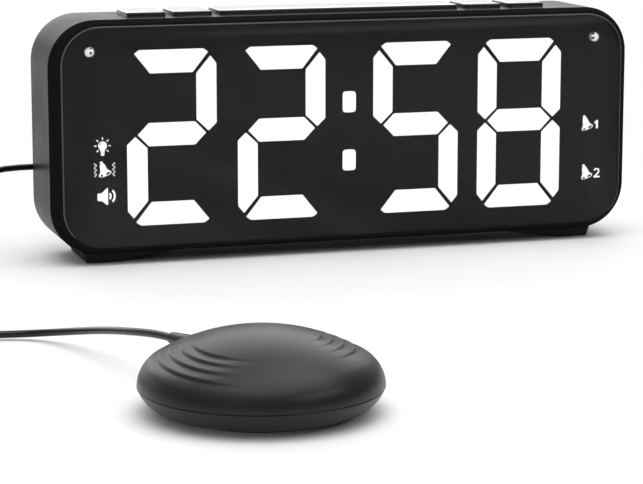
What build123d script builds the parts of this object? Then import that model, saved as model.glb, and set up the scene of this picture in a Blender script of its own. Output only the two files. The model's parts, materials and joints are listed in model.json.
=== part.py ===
from build123d import *
import os
from math import atan2, ceil, cos, degrees, pi, radians, sin, sqrt, tan

# Bed shaker alarm clock: a wide clock with lit digits, and a round vibrating shaker on its lead.
# Sizes are in millimetres and +Z is up. The clock's front faces -Y. The origin lies on the table,
# under the middle of the box round the clock and the shaker.

os.makedirs("parts", exist_ok=True)

# Case of the clock
case_d = 27.5
case_corner_r = 14.5
wall = 2.2
rim_d = 4.2
rim_in_side = 2.4
rim_in_top = 0.9
rim_in_bottom = 1.6
rim_lip = 0.6
rim_corner_r = 12.8
boss_r = 3.4
boss_length = 10.0
boss_in_x = 8.5
boss_in_z = 9.0
web_t = 3.0

# Rear cover and what it carries
cover_t = 2.2
rebate_w = 1.1
cover_gap = 0.15
post_r = 2.6
grille_hole_r = 1.1
grille_pitch = 4.0
grille_rings = 3
grille_first = 6
screw_r = 1.25
screw_head_r = 2.4
screw_head_h = 1.2
screw_length = 9.0
screw_end_gap = 1.2
screw_gap = 0.05

# Feet of the clock
foot_h = 3.2
foot_in_side = 11.5
foot_flat_w = 10.0
foot_ramp_w = 22.0
foot_flare = 1.2
foot_set_back = 1.45

# Front lens, mask and light bars
lens_gap = 0.15
lens_t = 2.0
lens_proud = 0.5
lens_bevel = 0.4
lens_corner_r = 12.1
ledge_w = 2.0
ledge_t = 1.6
mask_gap = 0.3
mask_t = 0.8
display_time = ("2", "2", "5", "8")
digit_w = 28.4
digit_upper = 26.0
digit_lower = 28.1
digit_foot = 8.6
digit_head = 9.3
digit_side = 23.6
digit_inner_x = 22.1
digit_outer_x = 57.2
bar_h = 7.2
bar_v = 6.4
bar_gap = 1.1
bar_tip_x = 2.6
bar_tip_z = 1.1
bar_cut = 4.1
side_tip_x = 1.9
side_tip_z = 2.3
side_cut = 4.6
side_foot_x = 2.6
side_foot_cut = 3.0
middle_tip = 3.4
middle_slope = 3.5
colon_w = 4.3
colon_h = 6.6
colon_r = 1.1
colon_upper = 7.8
colon_lower = 10.6
bar_fit = 0.05

# Flash lamps beside the digits
lamp_in_side = 12.3
lamp_in_top = 9.4
lamp_r = 1.5
lamp_collar_r = 1.9
lamp_collar_t = 1.0
lamp_body = 3.6
lamp_hole_gap = 0.15
lamp_pin_w = 0.5
lamp_pin_pitch = 1.27
lamp_set_back = 0.2

# Boards inside the clock
board_t = 1.6
reflector_t = 6.5
reflector_margin = 2.2
reflector_corner_r = 3.0
board_gap_x = 4.8
board_gap_z = 3.3
display_board_r = 8.0
chip_w = 1.6
chip_h = 0.8
chip_step = 4.0
main_board_in_side = 15.0
main_board_w = 92.0
main_board_h = 46.0
main_board_low = 7.0
post_in = 5.0

# Keys on the top of the clock
key_w = 12.2
snooze_w = 78.4
key_depth = 16.0
key_pitch_gap = 2.6
key_proud = 1.4
key_corner_r = 1.3
key_edge_r = 0.5
key_gap = 0.3
key_travel = 0.6
key_flange_w = 0.6
key_flange_t = 1.2
plunger_r = 1.5
plunger_gap = 0.1
plunger_in = 1.2
switch_w = 6.0
switch_h = 3.5
switch_end_gap = 0.4
snooze_switch_x = 25.0
key_board_margin = 3.0

# Sockets, backup cell, hatch and speaker
jack_in_side = 23.0
jack_raise = 23.1
jack_bush_r = 3.0
jack_bore_gap = 0.05
jack_floor = 0.9
jack_body_w = 8.0
jack_body_gap = 0.5
inlet_pitch = 17.0
inlet_bush_r = 3.6
inlet_bore_r = 1.9
inlet_bore_depth = 8.0
inlet_pin_r = 0.65
cell_x = 18.0
cell_r = 10.0
cell_t = 3.2
cell_gap = 0.2
holder_wall = 1.4
holder_floor = 0.9
hatch_w = 27.0
hatch_t = 1.2
hatch_ledge = 1.6
hatch_gap = 0.3
hatch_corner_r = 2.5
hatch_groove_w = 10.0
hatch_groove_h = 0.9
hatch_groove_depth = 0.5
hatch_groove_step = 2.2
hatch_groove_count = 3
speaker_x = 48.0
speaker_r = 17.0
speaker_depth = 2.2
speaker_cone_r = 11.0
speaker_cone_depth = 1.1
speaker_cone_slope = 45
speaker_basket_r = 11.0
speaker_basket_t = 2.2
speaker_basket_slope = 20
magnet_r = 8.5
magnet_t = 2.6

# Shaker: place beside the clock, outside and shells
shaker_dx = -82.7
shaker_dy = -205.2
shaker_r = 29.0
seam_z = 6.4
shoulder_r = 8.0
shell_wall = 1.8
seam_bevel = 0.35
base_r = 20.9
bowl_sagitta = 1.5
pad_t = 0.8
pad_in = 1.2
tongue_t = 0.8
tongue_h = 1.4
tongue_gap = 0.1

# Ripple grooves of the shaker's top, in two facing groups
ripple_count = 4
ripple_first_r = 15.6
ripple_step = 2.6
ripple_depth = 0.5
ripple_tool_r = 1.5
ripple_tilt = 4.4
ripple_turn = 22.7

# Motor, weight and fixings inside the shaker
motor_length = 20.0
motor_w = 15.5
motor_h = 12.0
motor_round = 5.5
cradle_h = 0.6
shaft_r = 0.75
shaft_gap = 0.05
shaft_in = 8.0
shaft_end_gap = 2.0
shaft_length = 9.0
weight_r = 6.0
weight_gap = 0.6
weight_length = 7.0
weight_start = 1.5
weight_hub_r = 2.2
crown_gap = 1.7
clamp_t = 1.2
clamp_w = 8.0
clamp_foot = 3.6
clamp_gap = 0.1
cradle_w = 2.0
shell_post_gap = 1.05
shell_post_r = 2.2
shell_screw_r = 0.9
shell_screw_head_r = 1.7
shell_screw_head_h = 0.7
shell_screw_length = 7.0

# Lead from the shaker to the clock
cord_d = 2.0
gland_turn = 112.0
gland_rise = 5.0
gland_r = 2.1
gland_tip_r = 1.5
gland_length = 8.0
gland_in = 2.0
gland_gap = 0.05
plug_barrel_r = 1.75
plug_barrel_length = 8.0
plug_tip_gap = 0.1
plug_body_r = 3.8
plug_edge_r = 0.9
plug_body_length = 9.0
plug_arm_r = 2.7
plug_arm_tip_r = 1.5
plug_arm_length = 20.0
coil_dx = -152.3
coil_dy = -93.5
coil_middle_r = 10.8
coil_turns = 18.25
coil_climb = 0.5
coil_gap = 0.55
coil_layers = 4
coil_lift = 1.2
coil_sides = 8
tie_t = 0.8
tie_w = 4.0
tie_gap = 0.3
gland_run = 6.0
coil_run_in = 9.0
coil_run_out = 14.0
plug_run = 11.0
bend_share = 0.45

# Places that follow from the sizes above
case_w = 2 * (digit_outer_x + digit_w / 2 + digit_side)
case_h = digit_foot + digit_lower + digit_upper + digit_head
main_board_depth = plug_barrel_length + plug_tip_gap + jack_floor
clock_x = -(case_w / 2 + shaker_dx - shaker_r) / 2
clock_y = -(case_d / 2 + shaker_dy - shaker_r) / 2
shaker_x = clock_x + shaker_dx
shaker_y = clock_y + shaker_dy
y_edge = clock_y - case_d / 2
y_back = clock_y + case_d / 2
y_rim = y_edge - rim_d
y_lens_front = y_rim - lens_proud
y_lens_back = y_lens_front + lens_t
y_ledge_back = y_lens_back + ledge_t
y_mask_back = y_lens_back + mask_t
y_board_front = y_mask_back + reflector_t
y_board_back = y_board_front + board_t
y_cover_in = y_back - cover_t
y_main_back = y_back - main_board_depth
z_low = foot_h
z_top = foot_h + case_h
z_mid = foot_h + case_h / 2
rim_w = case_w - 2 * rim_in_side
rim_h = case_h - rim_in_top - rim_in_bottom
rim_z = z_mid + (rim_in_bottom - rim_in_top) / 2
lens_w = rim_w - 2 * (rim_lip + lens_gap)
lens_h = rim_h - 2 * (rim_lip + lens_gap)
lamp_z = z_top - lamp_in_top
lamp_x = case_w / 2 - lamp_in_side
lamp_places = ((clock_x - lamp_x, lamp_z), (clock_x + lamp_x, lamp_z))
boss_places = [
    (clock_x + side * (case_w / 2 - boss_in_x), z)
    for side in (-1, 1)
    for z in (z_low + boss_in_z, z_top - boss_in_z)
]
jack_z = z_low + jack_raise


def upright(y):
    """Upright plane across the clock at depth y, facing its front."""
    return Plane.XZ.offset(-y)


# Light bars: each digit is drawn from its outer edges, in X and Z
digit_low = z_low + digit_foot
digit_mid = digit_low + digit_lower
digit_top = digit_mid + digit_upper
digit_places = (-digit_outer_x, -digit_inner_x, digit_inner_x, digit_outer_x)
lit_names = {"2": "abged", "5": "afgcd", "8": "abcdefg"}


def end_bar(x, z_edge, inward):
    """Level bar at the top or bottom of a digit, with cut outer corners."""
    half = digit_w / 2
    inner = half - bar_v - bar_gap
    tip = half - bar_tip_x
    return [
        (x - tip, z_edge + inward * bar_tip_z),
        (x - half + bar_cut, z_edge),
        (x + half - bar_cut, z_edge),
        (x + tip, z_edge + inward * bar_tip_z),
        (x + inner, z_edge + inward * bar_h),
        (x - inner, z_edge + inward * bar_h),
    ]


def side_bar(x, side, z_edge):
    """Upright bar on one side of a digit, between its end bar and its middle bar."""
    half = digit_w / 2
    up = 1 if z_edge > digit_mid else -1
    outer = x + side * half
    tip = x + side * (half - side_tip_x)
    foot = x + side * (half - side_foot_x)
    inner = x + side * (half - bar_v)
    return [
        (tip, z_edge - up * side_tip_z),
        (outer, z_edge - up * side_cut),
        (outer, digit_mid + up * side_foot_cut),
        (foot, digit_mid + up * bar_gap / 2),
        (inner, digit_mid + up * (bar_h + bar_gap) / 2),
        (inner, z_edge - up * (bar_h + bar_gap / 3)),
    ]


def middle_bar(x):
    """Level bar across the middle of a digit, pointed at both ends."""
    tip = digit_w / 2 - middle_tip
    inner = tip - middle_slope
    return [
        (x - tip, digit_mid),
        (x - inner, digit_mid + bar_h / 2),
        (x + inner, digit_mid + bar_h / 2),
        (x + tip, digit_mid),
        (x + inner, digit_mid - bar_h / 2),
        (x - inner, digit_mid - bar_h / 2),
    ]


def digit_bars(x):
    """The seven bars of the digit centred at x, by name."""
    return {
        "a": end_bar(x, digit_top, -1),
        "b": side_bar(x, 1, digit_top),
        "c": side_bar(x, 1, digit_low),
        "d": end_bar(x, digit_low, 1),
        "e": side_bar(x, -1, digit_low),
        "f": side_bar(x, -1, digit_top),
        "g": middle_bar(x),
    }


lit_bars = []
dark_bars = []
for place, figure in zip(digit_places, display_time):
    for bar_name, bar in digit_bars(clock_x + place).items():
        if bar_name in lit_names[figure]:
            lit_bars.append(bar)
        else:
            dark_bars.append(bar)
all_bars = lit_bars + dark_bars
colon_places = ((clock_x, digit_mid + colon_upper), (clock_x, digit_mid - colon_lower))

# Keys: name, middle in X, width and the switches under them
inner_key_x = snooze_w / 2 + key_pitch_gap + key_w / 2
outer_key_x = inner_key_x + key_w + key_pitch_gap
keys = (
    ("key_left_outer", -outer_key_x, key_w, (0,)),
    ("key_left_inner", -inner_key_x, key_w, (0,)),
    ("snooze_bar", 0, snooze_w, (-snooze_switch_x, snooze_switch_x)),
    ("key_right_inner", inner_key_x, key_w, (0,)),
    ("key_right_outer", outer_key_x, key_w, (0,)),
)
z_flange_top = z_top - wall - key_gap
z_flange_low = z_flange_top - key_flange_t
z_plunger_low = z_flange_low - key_travel - key_gap - plunger_in
z_switch_top = z_flange_low - key_travel - key_gap
z_key_board = z_switch_top - switch_h
switch_places = [
    (clock_x + middle + place, clock_y)
    for key_name, middle, width, places in keys
    for place in places
]

# Main case: a rounded sleeve with a sloped rim, a ledge for the lens and slots for the keys
with BuildPart() as main_case:
    with BuildSketch(upright(y_back)):
        with Locations((clock_x, z_mid)):
            RectangleRounded(case_w, case_h, case_corner_r)
    extrude(amount=case_d)
    with BuildSketch(upright(y_edge)):
        with Locations((clock_x, z_mid)):
            RectangleRounded(case_w, case_h, case_corner_r)
    with BuildSketch(upright(y_rim)):
        with Locations((clock_x, rim_z)):
            RectangleRounded(rim_w, rim_h, rim_corner_r)
    loft(ruled=True)
    with BuildSketch(upright(y_back)):
        with Locations((clock_x, z_mid)):
            RectangleRounded(case_w - 2 * wall, case_h - 2 * wall, case_corner_r - wall)
    extrude(amount=y_back - y_ledge_back, mode=Mode.SUBTRACT)
    with BuildSketch(upright(y_ledge_back)):
        with Locations((clock_x, rim_z)):
            RectangleRounded(lens_w - 2 * ledge_w, lens_h - 2 * ledge_w, lens_corner_r - ledge_w)
    extrude(amount=ledge_t, mode=Mode.SUBTRACT)
    with BuildSketch(upright(y_lens_back)):
        with Locations((clock_x, rim_z)):
            RectangleRounded(lens_w + 2 * lens_gap, lens_h + 2 * lens_gap, lens_corner_r + lens_gap)
    extrude(amount=lens_t, mode=Mode.SUBTRACT)
    with BuildSketch(upright(y_back)):
        with Locations((clock_x, z_mid)):
            RectangleRounded(case_w - 2 * rebate_w, case_h - 2 * rebate_w, case_corner_r - rebate_w)
    extrude(amount=cover_t, mode=Mode.SUBTRACT)
    with BuildSketch(Plane.XY.offset(z_top)):
        for key_name, middle, width, places in keys:
            with Locations((clock_x + middle, clock_y)):
                RectangleRounded(width + 2 * key_gap, key_depth + 2 * key_gap, key_corner_r + key_gap)
    extrude(amount=-2 * wall, mode=Mode.SUBTRACT)
    with BuildSketch(upright(y_cover_in)):
        for x, z in boss_places:
            side = 1 if x > clock_x else -1
            with Locations((x, z)):
                Circle(boss_r)
            with Locations((x + side * (boss_in_x - wall) / 2, z)):
                Rectangle(boss_in_x - wall, web_t)
    extrude(amount=boss_length)
    with BuildSketch(upright(y_cover_in)):
        with Locations(*boss_places):
            Circle(screw_r + screw_gap)
    extrude(amount=screw_length - cover_t + screw_end_gap, mode=Mode.SUBTRACT)
main_case.part.label = "main_case"
export_step(main_case.part, "parts/main_case.step")

# Front lens: smoked plate with a bevelled edge and two lamp holes
with BuildPart() as front_lens:
    with BuildSketch(upright(y_lens_back)):
        with Locations((clock_x, rim_z)):
            RectangleRounded(lens_w, lens_h, lens_corner_r)
        with Locations(*lamp_places):
            Circle(lamp_r + lamp_hole_gap, mode=Mode.SUBTRACT)
    extrude(amount=lens_t)
    chamfer(front_lens.faces().sort_by(Axis.Y)[0].outer_wire().edges(), length=lens_bevel)
front_lens.part.label = "front_lens"
export_step(front_lens.part, "parts/front_lens.step")

# Display mask: black plate behind the lens, with a window for each light bar
with BuildPart() as display_mask:
    with BuildSketch(upright(y_mask_back)):
        mask_in = ledge_w + mask_gap
        with Locations((clock_x, rim_z)):
            RectangleRounded(lens_w - 2 * mask_in, lens_h - 2 * mask_in, lens_corner_r - mask_in)
        for bar in all_bars:
            Polygon(*bar, align=None, mode=Mode.SUBTRACT)
        with Locations(*colon_places):
            RectangleRounded(colon_w + 2 * bar_fit, colon_h + 2 * bar_fit, colon_r, mode=Mode.SUBTRACT)
        with Locations(*lamp_places):
            Circle(lamp_r + lamp_hole_gap, mode=Mode.SUBTRACT)
    extrude(amount=mask_t)
display_mask.part.label = "display_mask"
export_step(display_mask.part, "parts/display_mask.step")

# Light bars that shine for the time shown, and the ones that stay dark
with BuildPart() as lit_segments:
    with BuildSketch(upright(y_mask_back)):
        for bar in lit_bars:
            Polygon(*bar, align=None)
    extrude(amount=mask_t)
lit_segments.part.label = "lit_segments"
export_step(lit_segments.part, "parts/lit_segments.step")

with BuildPart() as dark_segments:
    with BuildSketch(upright(y_mask_back)):
        for bar in dark_bars:
            Polygon(*bar, align=None)
    extrude(amount=mask_t)
dark_segments.part.label = "dark_segments"
export_step(dark_segments.part, "parts/dark_segments.step")

with BuildPart() as colon_dots:
    with BuildSketch(upright(y_mask_back)):
        with Locations(*colon_places):
            RectangleRounded(colon_w, colon_h, colon_r)
    extrude(amount=mask_t)
colon_dots.part.label = "colon_dots"
export_step(colon_dots.part, "parts/colon_dots.step")

# Reflector block: a light well behind each bar and dot
reflector_w = 2 * digit_outer_x + digit_w + 2 * reflector_margin
reflector_h = digit_upper + digit_lower + 2 * reflector_margin
with BuildPart() as reflector_block:
    with BuildSketch(upright(y_board_front)):
        with Locations((clock_x, (digit_top + digit_low) / 2)):
            RectangleRounded(reflector_w, reflector_h, reflector_corner_r)
        for bar in all_bars:
            Polygon(*bar, align=None, mode=Mode.SUBTRACT)
        with Locations(*colon_places):
            RectangleRounded(colon_w, colon_h, colon_r, mode=Mode.SUBTRACT)
    extrude(amount=reflector_t)
reflector_block.part.label = "reflector_block"
export_step(reflector_block.part, "parts/reflector_block.step")

# Display board with a pair of light chips in each well
display_board_w = case_w - 2 * (wall + board_gap_x)
display_board_h = case_h - 2 * (wall + board_gap_z)
with BuildPart() as display_board:
    with BuildSketch(upright(y_board_back)):
        with Locations((clock_x, z_mid)):
            RectangleRounded(display_board_w, display_board_h, display_board_r)
    extrude(amount=board_t)
display_board.part.label = "display_board"
export_step(display_board.part, "parts/display_board.step")

chip_places = list(colon_places)
for bar in all_bars:
    middle_x = sum(x for x, z in bar) / len(bar)
    middle_z = sum(z for x, z in bar) / len(bar)
    reach_x = max(x for x, z in bar) - min(x for x, z in bar)
    reach_z = max(z for x, z in bar) - min(z for x, z in bar)
    step_x = chip_step if reach_x > reach_z else 0
    step_z = 0 if reach_x > reach_z else chip_step
    chip_places.append((middle_x - step_x, middle_z - step_z))
    chip_places.append((middle_x + step_x, middle_z + step_z))
with BuildPart() as segment_leds:
    with BuildSketch(upright(y_board_front)):
        with Locations(*chip_places):
            Rectangle(chip_w, chip_w)
    extrude(amount=chip_h)
segment_leds.part.label = "segment_leds"
export_step(segment_leds.part, "parts/segment_leds.step")

# Flash lamps: round lamps on two pins, their domes in the lens holes
for lamp_name, (x, z) in zip(("flash_lamp_left", "flash_lamp_right"), lamp_places):
    y_dome = y_lens_front + lamp_set_back
    y_collar = y_dome + lamp_r + lamp_body
    with BuildPart() as flash_lamp:
        with BuildSketch(upright(y_collar)):
            with Locations((x, z)):
                Circle(lamp_r)
        extrude(amount=lamp_body)
        with Locations((x, y_dome + lamp_r, z)):
            Sphere(lamp_r)
        with BuildSketch(upright(y_collar)):
            with Locations((x, z)):
                Circle(lamp_collar_r)
        extrude(amount=lamp_collar_t)
        with BuildSketch(upright(y_board_front)):
            with Locations((x - lamp_pin_pitch, z), (x + lamp_pin_pitch, z)):
                Rectangle(lamp_pin_w, lamp_pin_w)
        extrude(amount=y_board_front - y_collar)
    flash_lamp.part.label = lamp_name
    export_step(flash_lamp.part, f"parts/{lamp_name}.step")

# Key board: stands off the display board's back, under the keys
key_board_w = 2 * outer_key_x + key_w
key_board_y = clock_y + switch_w / 2 + key_board_margin
with BuildPart() as key_board:
    with BuildSketch(Plane.XY.offset(z_key_board - board_t)):
        with Locations((clock_x, (y_board_back + key_board_y) / 2)):
            Rectangle(key_board_w, key_board_y - y_board_back)
    extrude(amount=board_t)
key_board.part.label = "key_board"
export_step(key_board.part, "parts/key_board.step")

# Key switches: square bodies, each with a bore for its plunger
with BuildPart() as key_switches:
    with BuildSketch(Plane.XY.offset(z_key_board)):
        with Locations(*switch_places):
            Rectangle(switch_w, switch_w)
    extrude(amount=switch_h)
    with BuildSketch(Plane.XY.offset(z_switch_top)):
        with Locations(*switch_places):
            Circle(plunger_r + plunger_gap)
    extrude(amount=-(plunger_in + key_travel + switch_end_gap), mode=Mode.SUBTRACT)
key_switches.part.label = "key_switches"
export_step(key_switches.part, "parts/key_switches.step")

# Keys: rounded caps held under the top wall by a flange, and the plungers below them
for key_name, middle, width, places in keys:
    with BuildPart() as key_cap:
        with BuildSketch(Plane.XY.offset(z_flange_top)):
            with Locations((clock_x + middle, clock_y)):
                RectangleRounded(width, key_depth, key_corner_r)
        extrude(amount=z_top + key_proud - z_flange_top)
        fillet(key_cap.faces().sort_by(Axis.Z)[-1].edges(), radius=key_edge_r)
        with BuildSketch(Plane.XY.offset(z_flange_low)):
            with Locations((clock_x + middle, clock_y)):
                RectangleRounded(width + 2 * key_flange_w, key_depth + 2 * key_flange_w, key_corner_r)
        extrude(amount=key_flange_t)
    key_cap.part.label = key_name
    export_step(key_cap.part, f"parts/{key_name}.step")

    with BuildPart() as key_plunger:
        with BuildSketch(Plane.XY.offset(z_plunger_low)):
            with Locations(*[(clock_x + middle + place, clock_y) for place in places]):
                Circle(plunger_r)
        extrude(amount=z_flange_low - z_plunger_low)
    key_plunger.part.label = f"{key_name}_plunger"
    export_step(key_plunger.part, f"parts/{key_name}_plunger.step")

# Rear cover: plate in the rebate, with board posts, speaker holes, sockets and the cell hatch
main_board_x = clock_x - case_w / 2 + main_board_in_side + main_board_w / 2
main_board_z = z_low + main_board_low + main_board_h / 2
board_posts = [
    (main_board_x + side * (main_board_w / 2 - post_in), main_board_z + up * (main_board_h / 2 - post_in))
    for side in (-1, 1)
    for up in (-1, 1)
]
cell_place = (clock_x - cell_x, main_board_z)
jack_x = clock_x - case_w / 2 + jack_in_side
jack_place = (jack_x, jack_z)
inlet_place = (jack_x + inlet_pitch, jack_z)
speaker_place = (clock_x + speaker_x, z_mid)
with BuildPart() as rear_cover:
    with BuildSketch(upright(y_back)):
        cover_in = rebate_w + cover_gap
        with Locations((clock_x, z_mid)):
            RectangleRounded(case_w - 2 * cover_in, case_h - 2 * cover_in, case_corner_r - cover_in)
        with Locations(jack_place):
            Circle(jack_bush_r + cover_gap, mode=Mode.SUBTRACT)
        with Locations(inlet_place):
            Circle(inlet_bush_r + cover_gap, mode=Mode.SUBTRACT)
        with Locations(cell_place):
            hatch_open = hatch_w - 2 * hatch_ledge
            RectangleRounded(hatch_open, hatch_open, hatch_corner_r, mode=Mode.SUBTRACT)
        with Locations(speaker_place):
            Circle(grille_hole_r, mode=Mode.SUBTRACT)
            for ring in range(1, grille_rings + 1):
                with PolarLocations(ring * grille_pitch, grille_first * ring):
                    Circle(grille_hole_r, mode=Mode.SUBTRACT)
        with Locations(*boss_places):
            Circle(screw_r + screw_gap, mode=Mode.SUBTRACT)
    extrude(amount=cover_t)
    with BuildSketch(upright(y_back)):
        with Locations(*boss_places):
            Circle(screw_head_r + cover_gap)
    extrude(amount=screw_head_h, mode=Mode.SUBTRACT)
    with BuildSketch(upright(y_back)):
        with Locations(cell_place):
            hatch_seat = hatch_w + 2 * hatch_gap
            RectangleRounded(hatch_seat, hatch_seat, hatch_corner_r + hatch_gap)
    extrude(amount=hatch_t + cover_gap, mode=Mode.SUBTRACT)
    with BuildSketch(upright(y_cover_in)):
        with Locations(*board_posts):
            Circle(post_r)
    extrude(amount=y_cover_in - y_main_back)
rear_cover.part.label = "rear_cover"
export_step(rear_cover.part, "parts/rear_cover.step")

with BuildPart() as cover_screws:
    with BuildSketch(upright(y_back)):
        with Locations(*boss_places):
            Circle(screw_head_r)
    extrude(amount=screw_head_h)
    with BuildSketch(upright(y_back - screw_head_h)):
        with Locations(*boss_places):
            Circle(screw_r)
    extrude(amount=screw_length - screw_head_h)
cover_screws.part.label = "cover_screws"
export_step(cover_screws.part, "parts/cover_screws.step")

# Main board on the cover's posts, with its sockets, chip and backup cell
with BuildPart() as main_board:
    with BuildSketch(upright(y_main_back)):
        with Locations((main_board_x, main_board_z)):
            Rectangle(main_board_w, main_board_h)
    extrude(amount=board_t)
main_board.part.label = "main_board"
export_step(main_board.part, "parts/main_board.step")

y_jack_body = y_cover_in - jack_body_gap
with BuildPart() as shaker_jack:
    with BuildSketch(upright(y_jack_body)):
        with Locations(jack_place):
            Rectangle(jack_body_w, jack_body_w)
    extrude(amount=y_jack_body - y_main_back)
    with BuildSketch(upright(y_back)):
        with Locations(jack_place):
            Circle(jack_bush_r)
    extrude(amount=y_back - y_jack_body)
    with BuildSketch(upright(y_back)):
        with Locations(jack_place):
            Circle(plug_barrel_r + jack_bore_gap)
    extrude(amount=plug_barrel_length + plug_tip_gap, mode=Mode.SUBTRACT)
shaker_jack.part.label = "shaker_jack"
export_step(shaker_jack.part, "parts/shaker_jack.step")

with BuildPart() as power_inlet:
    with BuildSketch(upright(y_jack_body)):
        with Locations(inlet_place):
            Rectangle(jack_body_w, jack_body_w)
    extrude(amount=y_jack_body - y_main_back)
    with BuildSketch(upright(y_back)):
        with Locations(inlet_place):
            Circle(inlet_bush_r)
    extrude(amount=y_back - y_jack_body)
    with BuildSketch(upright(y_back)):
        with Locations(inlet_place):
            Circle(inlet_bore_r)
            Circle(inlet_pin_r, mode=Mode.SUBTRACT)
    extrude(amount=inlet_bore_depth, mode=Mode.SUBTRACT)
power_inlet.part.label = "power_inlet"
export_step(power_inlet.part, "parts/power_inlet.step")

holder_w = 2 * (cell_r + cell_gap + holder_wall)
y_cell_front = y_main_back + holder_floor
with BuildPart() as cell_holder:
    with BuildSketch(upright(y_cell_front + cell_t - cell_gap)):
        with Locations(cell_place):
            RectangleRounded(holder_w, holder_w, hatch_corner_r)
    extrude(amount=cell_t - cell_gap + holder_floor)
    with BuildSketch(upright(y_cell_front + cell_t)):
        with Locations(cell_place):
            Circle(cell_r + cell_gap)
    extrude(amount=cell_t, mode=Mode.SUBTRACT)
cell_holder.part.label = "cell_holder"
export_step(cell_holder.part, "parts/cell_holder.step")

with BuildPart() as backup_cell:
    with BuildSketch(upright(y_cell_front + cell_t)):
        with Locations(cell_place):
            Circle(cell_r)
    extrude(amount=cell_t)
    chamfer(backup_cell.faces().sort_by(Axis.Y)[0].edges(), length=cell_gap)
backup_cell.part.label = "backup_cell"
export_step(backup_cell.part, "parts/backup_cell.step")

# Cell hatch: plate that pulls off backwards, with three finger grooves
with BuildPart() as cell_hatch:
    with BuildSketch(upright(y_back)):
        with Locations(cell_place):
            RectangleRounded(hatch_w, hatch_w, hatch_corner_r)
    extrude(amount=hatch_t)
    with BuildSketch(upright(y_back)):
        with Locations(cell_place):
            with GridLocations(0, hatch_groove_step, 1, hatch_groove_count):
                SlotOverall(hatch_groove_w, hatch_groove_h)
    extrude(amount=hatch_groove_depth, mode=Mode.SUBTRACT)
cell_hatch.part.label = "cell_hatch"
export_step(cell_hatch.part, "parts/cell_hatch.step")

# Speaker: a stepped basket on the cover's inside, with its magnet in front
y_basket = y_cover_in - speaker_depth
with BuildPart() as speaker:
    with BuildSketch(upright(y_cover_in)):
        with Locations(speaker_place):
            Circle(speaker_r)
    extrude(amount=speaker_depth)
    with BuildSketch(upright(y_cover_in)):
        with Locations(speaker_place):
            Circle(speaker_cone_r)
    extrude(amount=speaker_cone_depth, taper=speaker_cone_slope, mode=Mode.SUBTRACT)
    with BuildSketch(upright(y_basket)):
        with Locations(speaker_place):
            Circle(speaker_basket_r)
    extrude(amount=speaker_basket_t, taper=speaker_basket_slope)
speaker.part.label = "speaker"
export_step(speaker.part, "parts/speaker.step")

with BuildPart() as speaker_magnet:
    with BuildSketch(upright(y_basket - speaker_basket_t)):
        with Locations(speaker_place):
            Circle(magnet_r)
    extrude(amount=magnet_t)
speaker_magnet.part.label = "speaker_magnet"
export_step(speaker_magnet.part, "parts/speaker_magnet.step")

# Feet: bars from front to back under the case, each with a ramp towards the middle
for foot_name, side in (("foot_left", -1), ("foot_right", 1)):
    outer = case_w / 2 - foot_in_side
    inner = outer - foot_flat_w
    profile = [
        (clock_x + side * (inner - foot_ramp_w), z_low),
        (clock_x + side * inner, 0),
        (clock_x + side * outer, 0),
        (clock_x + side * (outer + foot_flare), z_low),
    ]
    with BuildPart() as foot:
        with BuildSketch(upright(y_back - foot_set_back)):
            Polygon(*profile, align=None)
        extrude(amount=case_d - 2 * foot_set_back)
    foot.part.label = foot_name
    export_step(foot.part, f"parts/{foot_name}.step")

# Shaker shells: the dome's crown arc runs into a round shoulder that stands upright at the seam
floor_z = pad_t + shell_wall
motor_z = floor_z + max(cradle_h + motor_h / 2, weight_gap + weight_r)
shaker_h = motor_z + max(motor_h / 2 + clamp_gap + clamp_t, weight_r) + crown_gap + shell_wall
dome_h = shaker_h - seam_z
shoulder_x = shaker_r - shoulder_r
crown_r = (dome_h**2 + shoulder_x**2 - shoulder_r**2) / (2 * (dome_h - shoulder_r))
crown_z = shaker_h - crown_r
crown_turn = degrees(atan2(shoulder_x, seam_z - crown_z))
shaker_plane = Plane(origin=(shaker_x, shaker_y, 0), x_dir=(1, 0, 0), z_dir=(0, -1, 0))
shaker_axis = Axis((shaker_x, shaker_y, 0), (0, 0, 1))
motor_span = motor_length + weight_start + weight_length
post_ring_r = motor_span / 2 + shell_post_gap + shell_post_r
shell_posts = [
    (shaker_x + post_ring_r * cos(turn), shaker_y + post_ring_r * sin(turn))
    for turn in (pi / 3, pi, 5 * pi / 3)
]


def dome_height(radius):
    """Height of the dome over the table at a distance from its axis."""
    return crown_z + sqrt(crown_r**2 - radius**2)


gland_z = seam_z + gland_rise
gland_way = Vector(cos(radians(gland_turn)), sin(radians(gland_turn)), 0)
gland_plane = Plane(origin=(shaker_x, shaker_y, gland_z), z_dir=gland_way)
gland_start = shoulder_x + sqrt((shoulder_r - shell_wall) ** 2 - gland_rise**2) - gland_in
gland_mouth = shoulder_x + sqrt(shoulder_r**2 - gland_rise**2) + gland_gap

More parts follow.
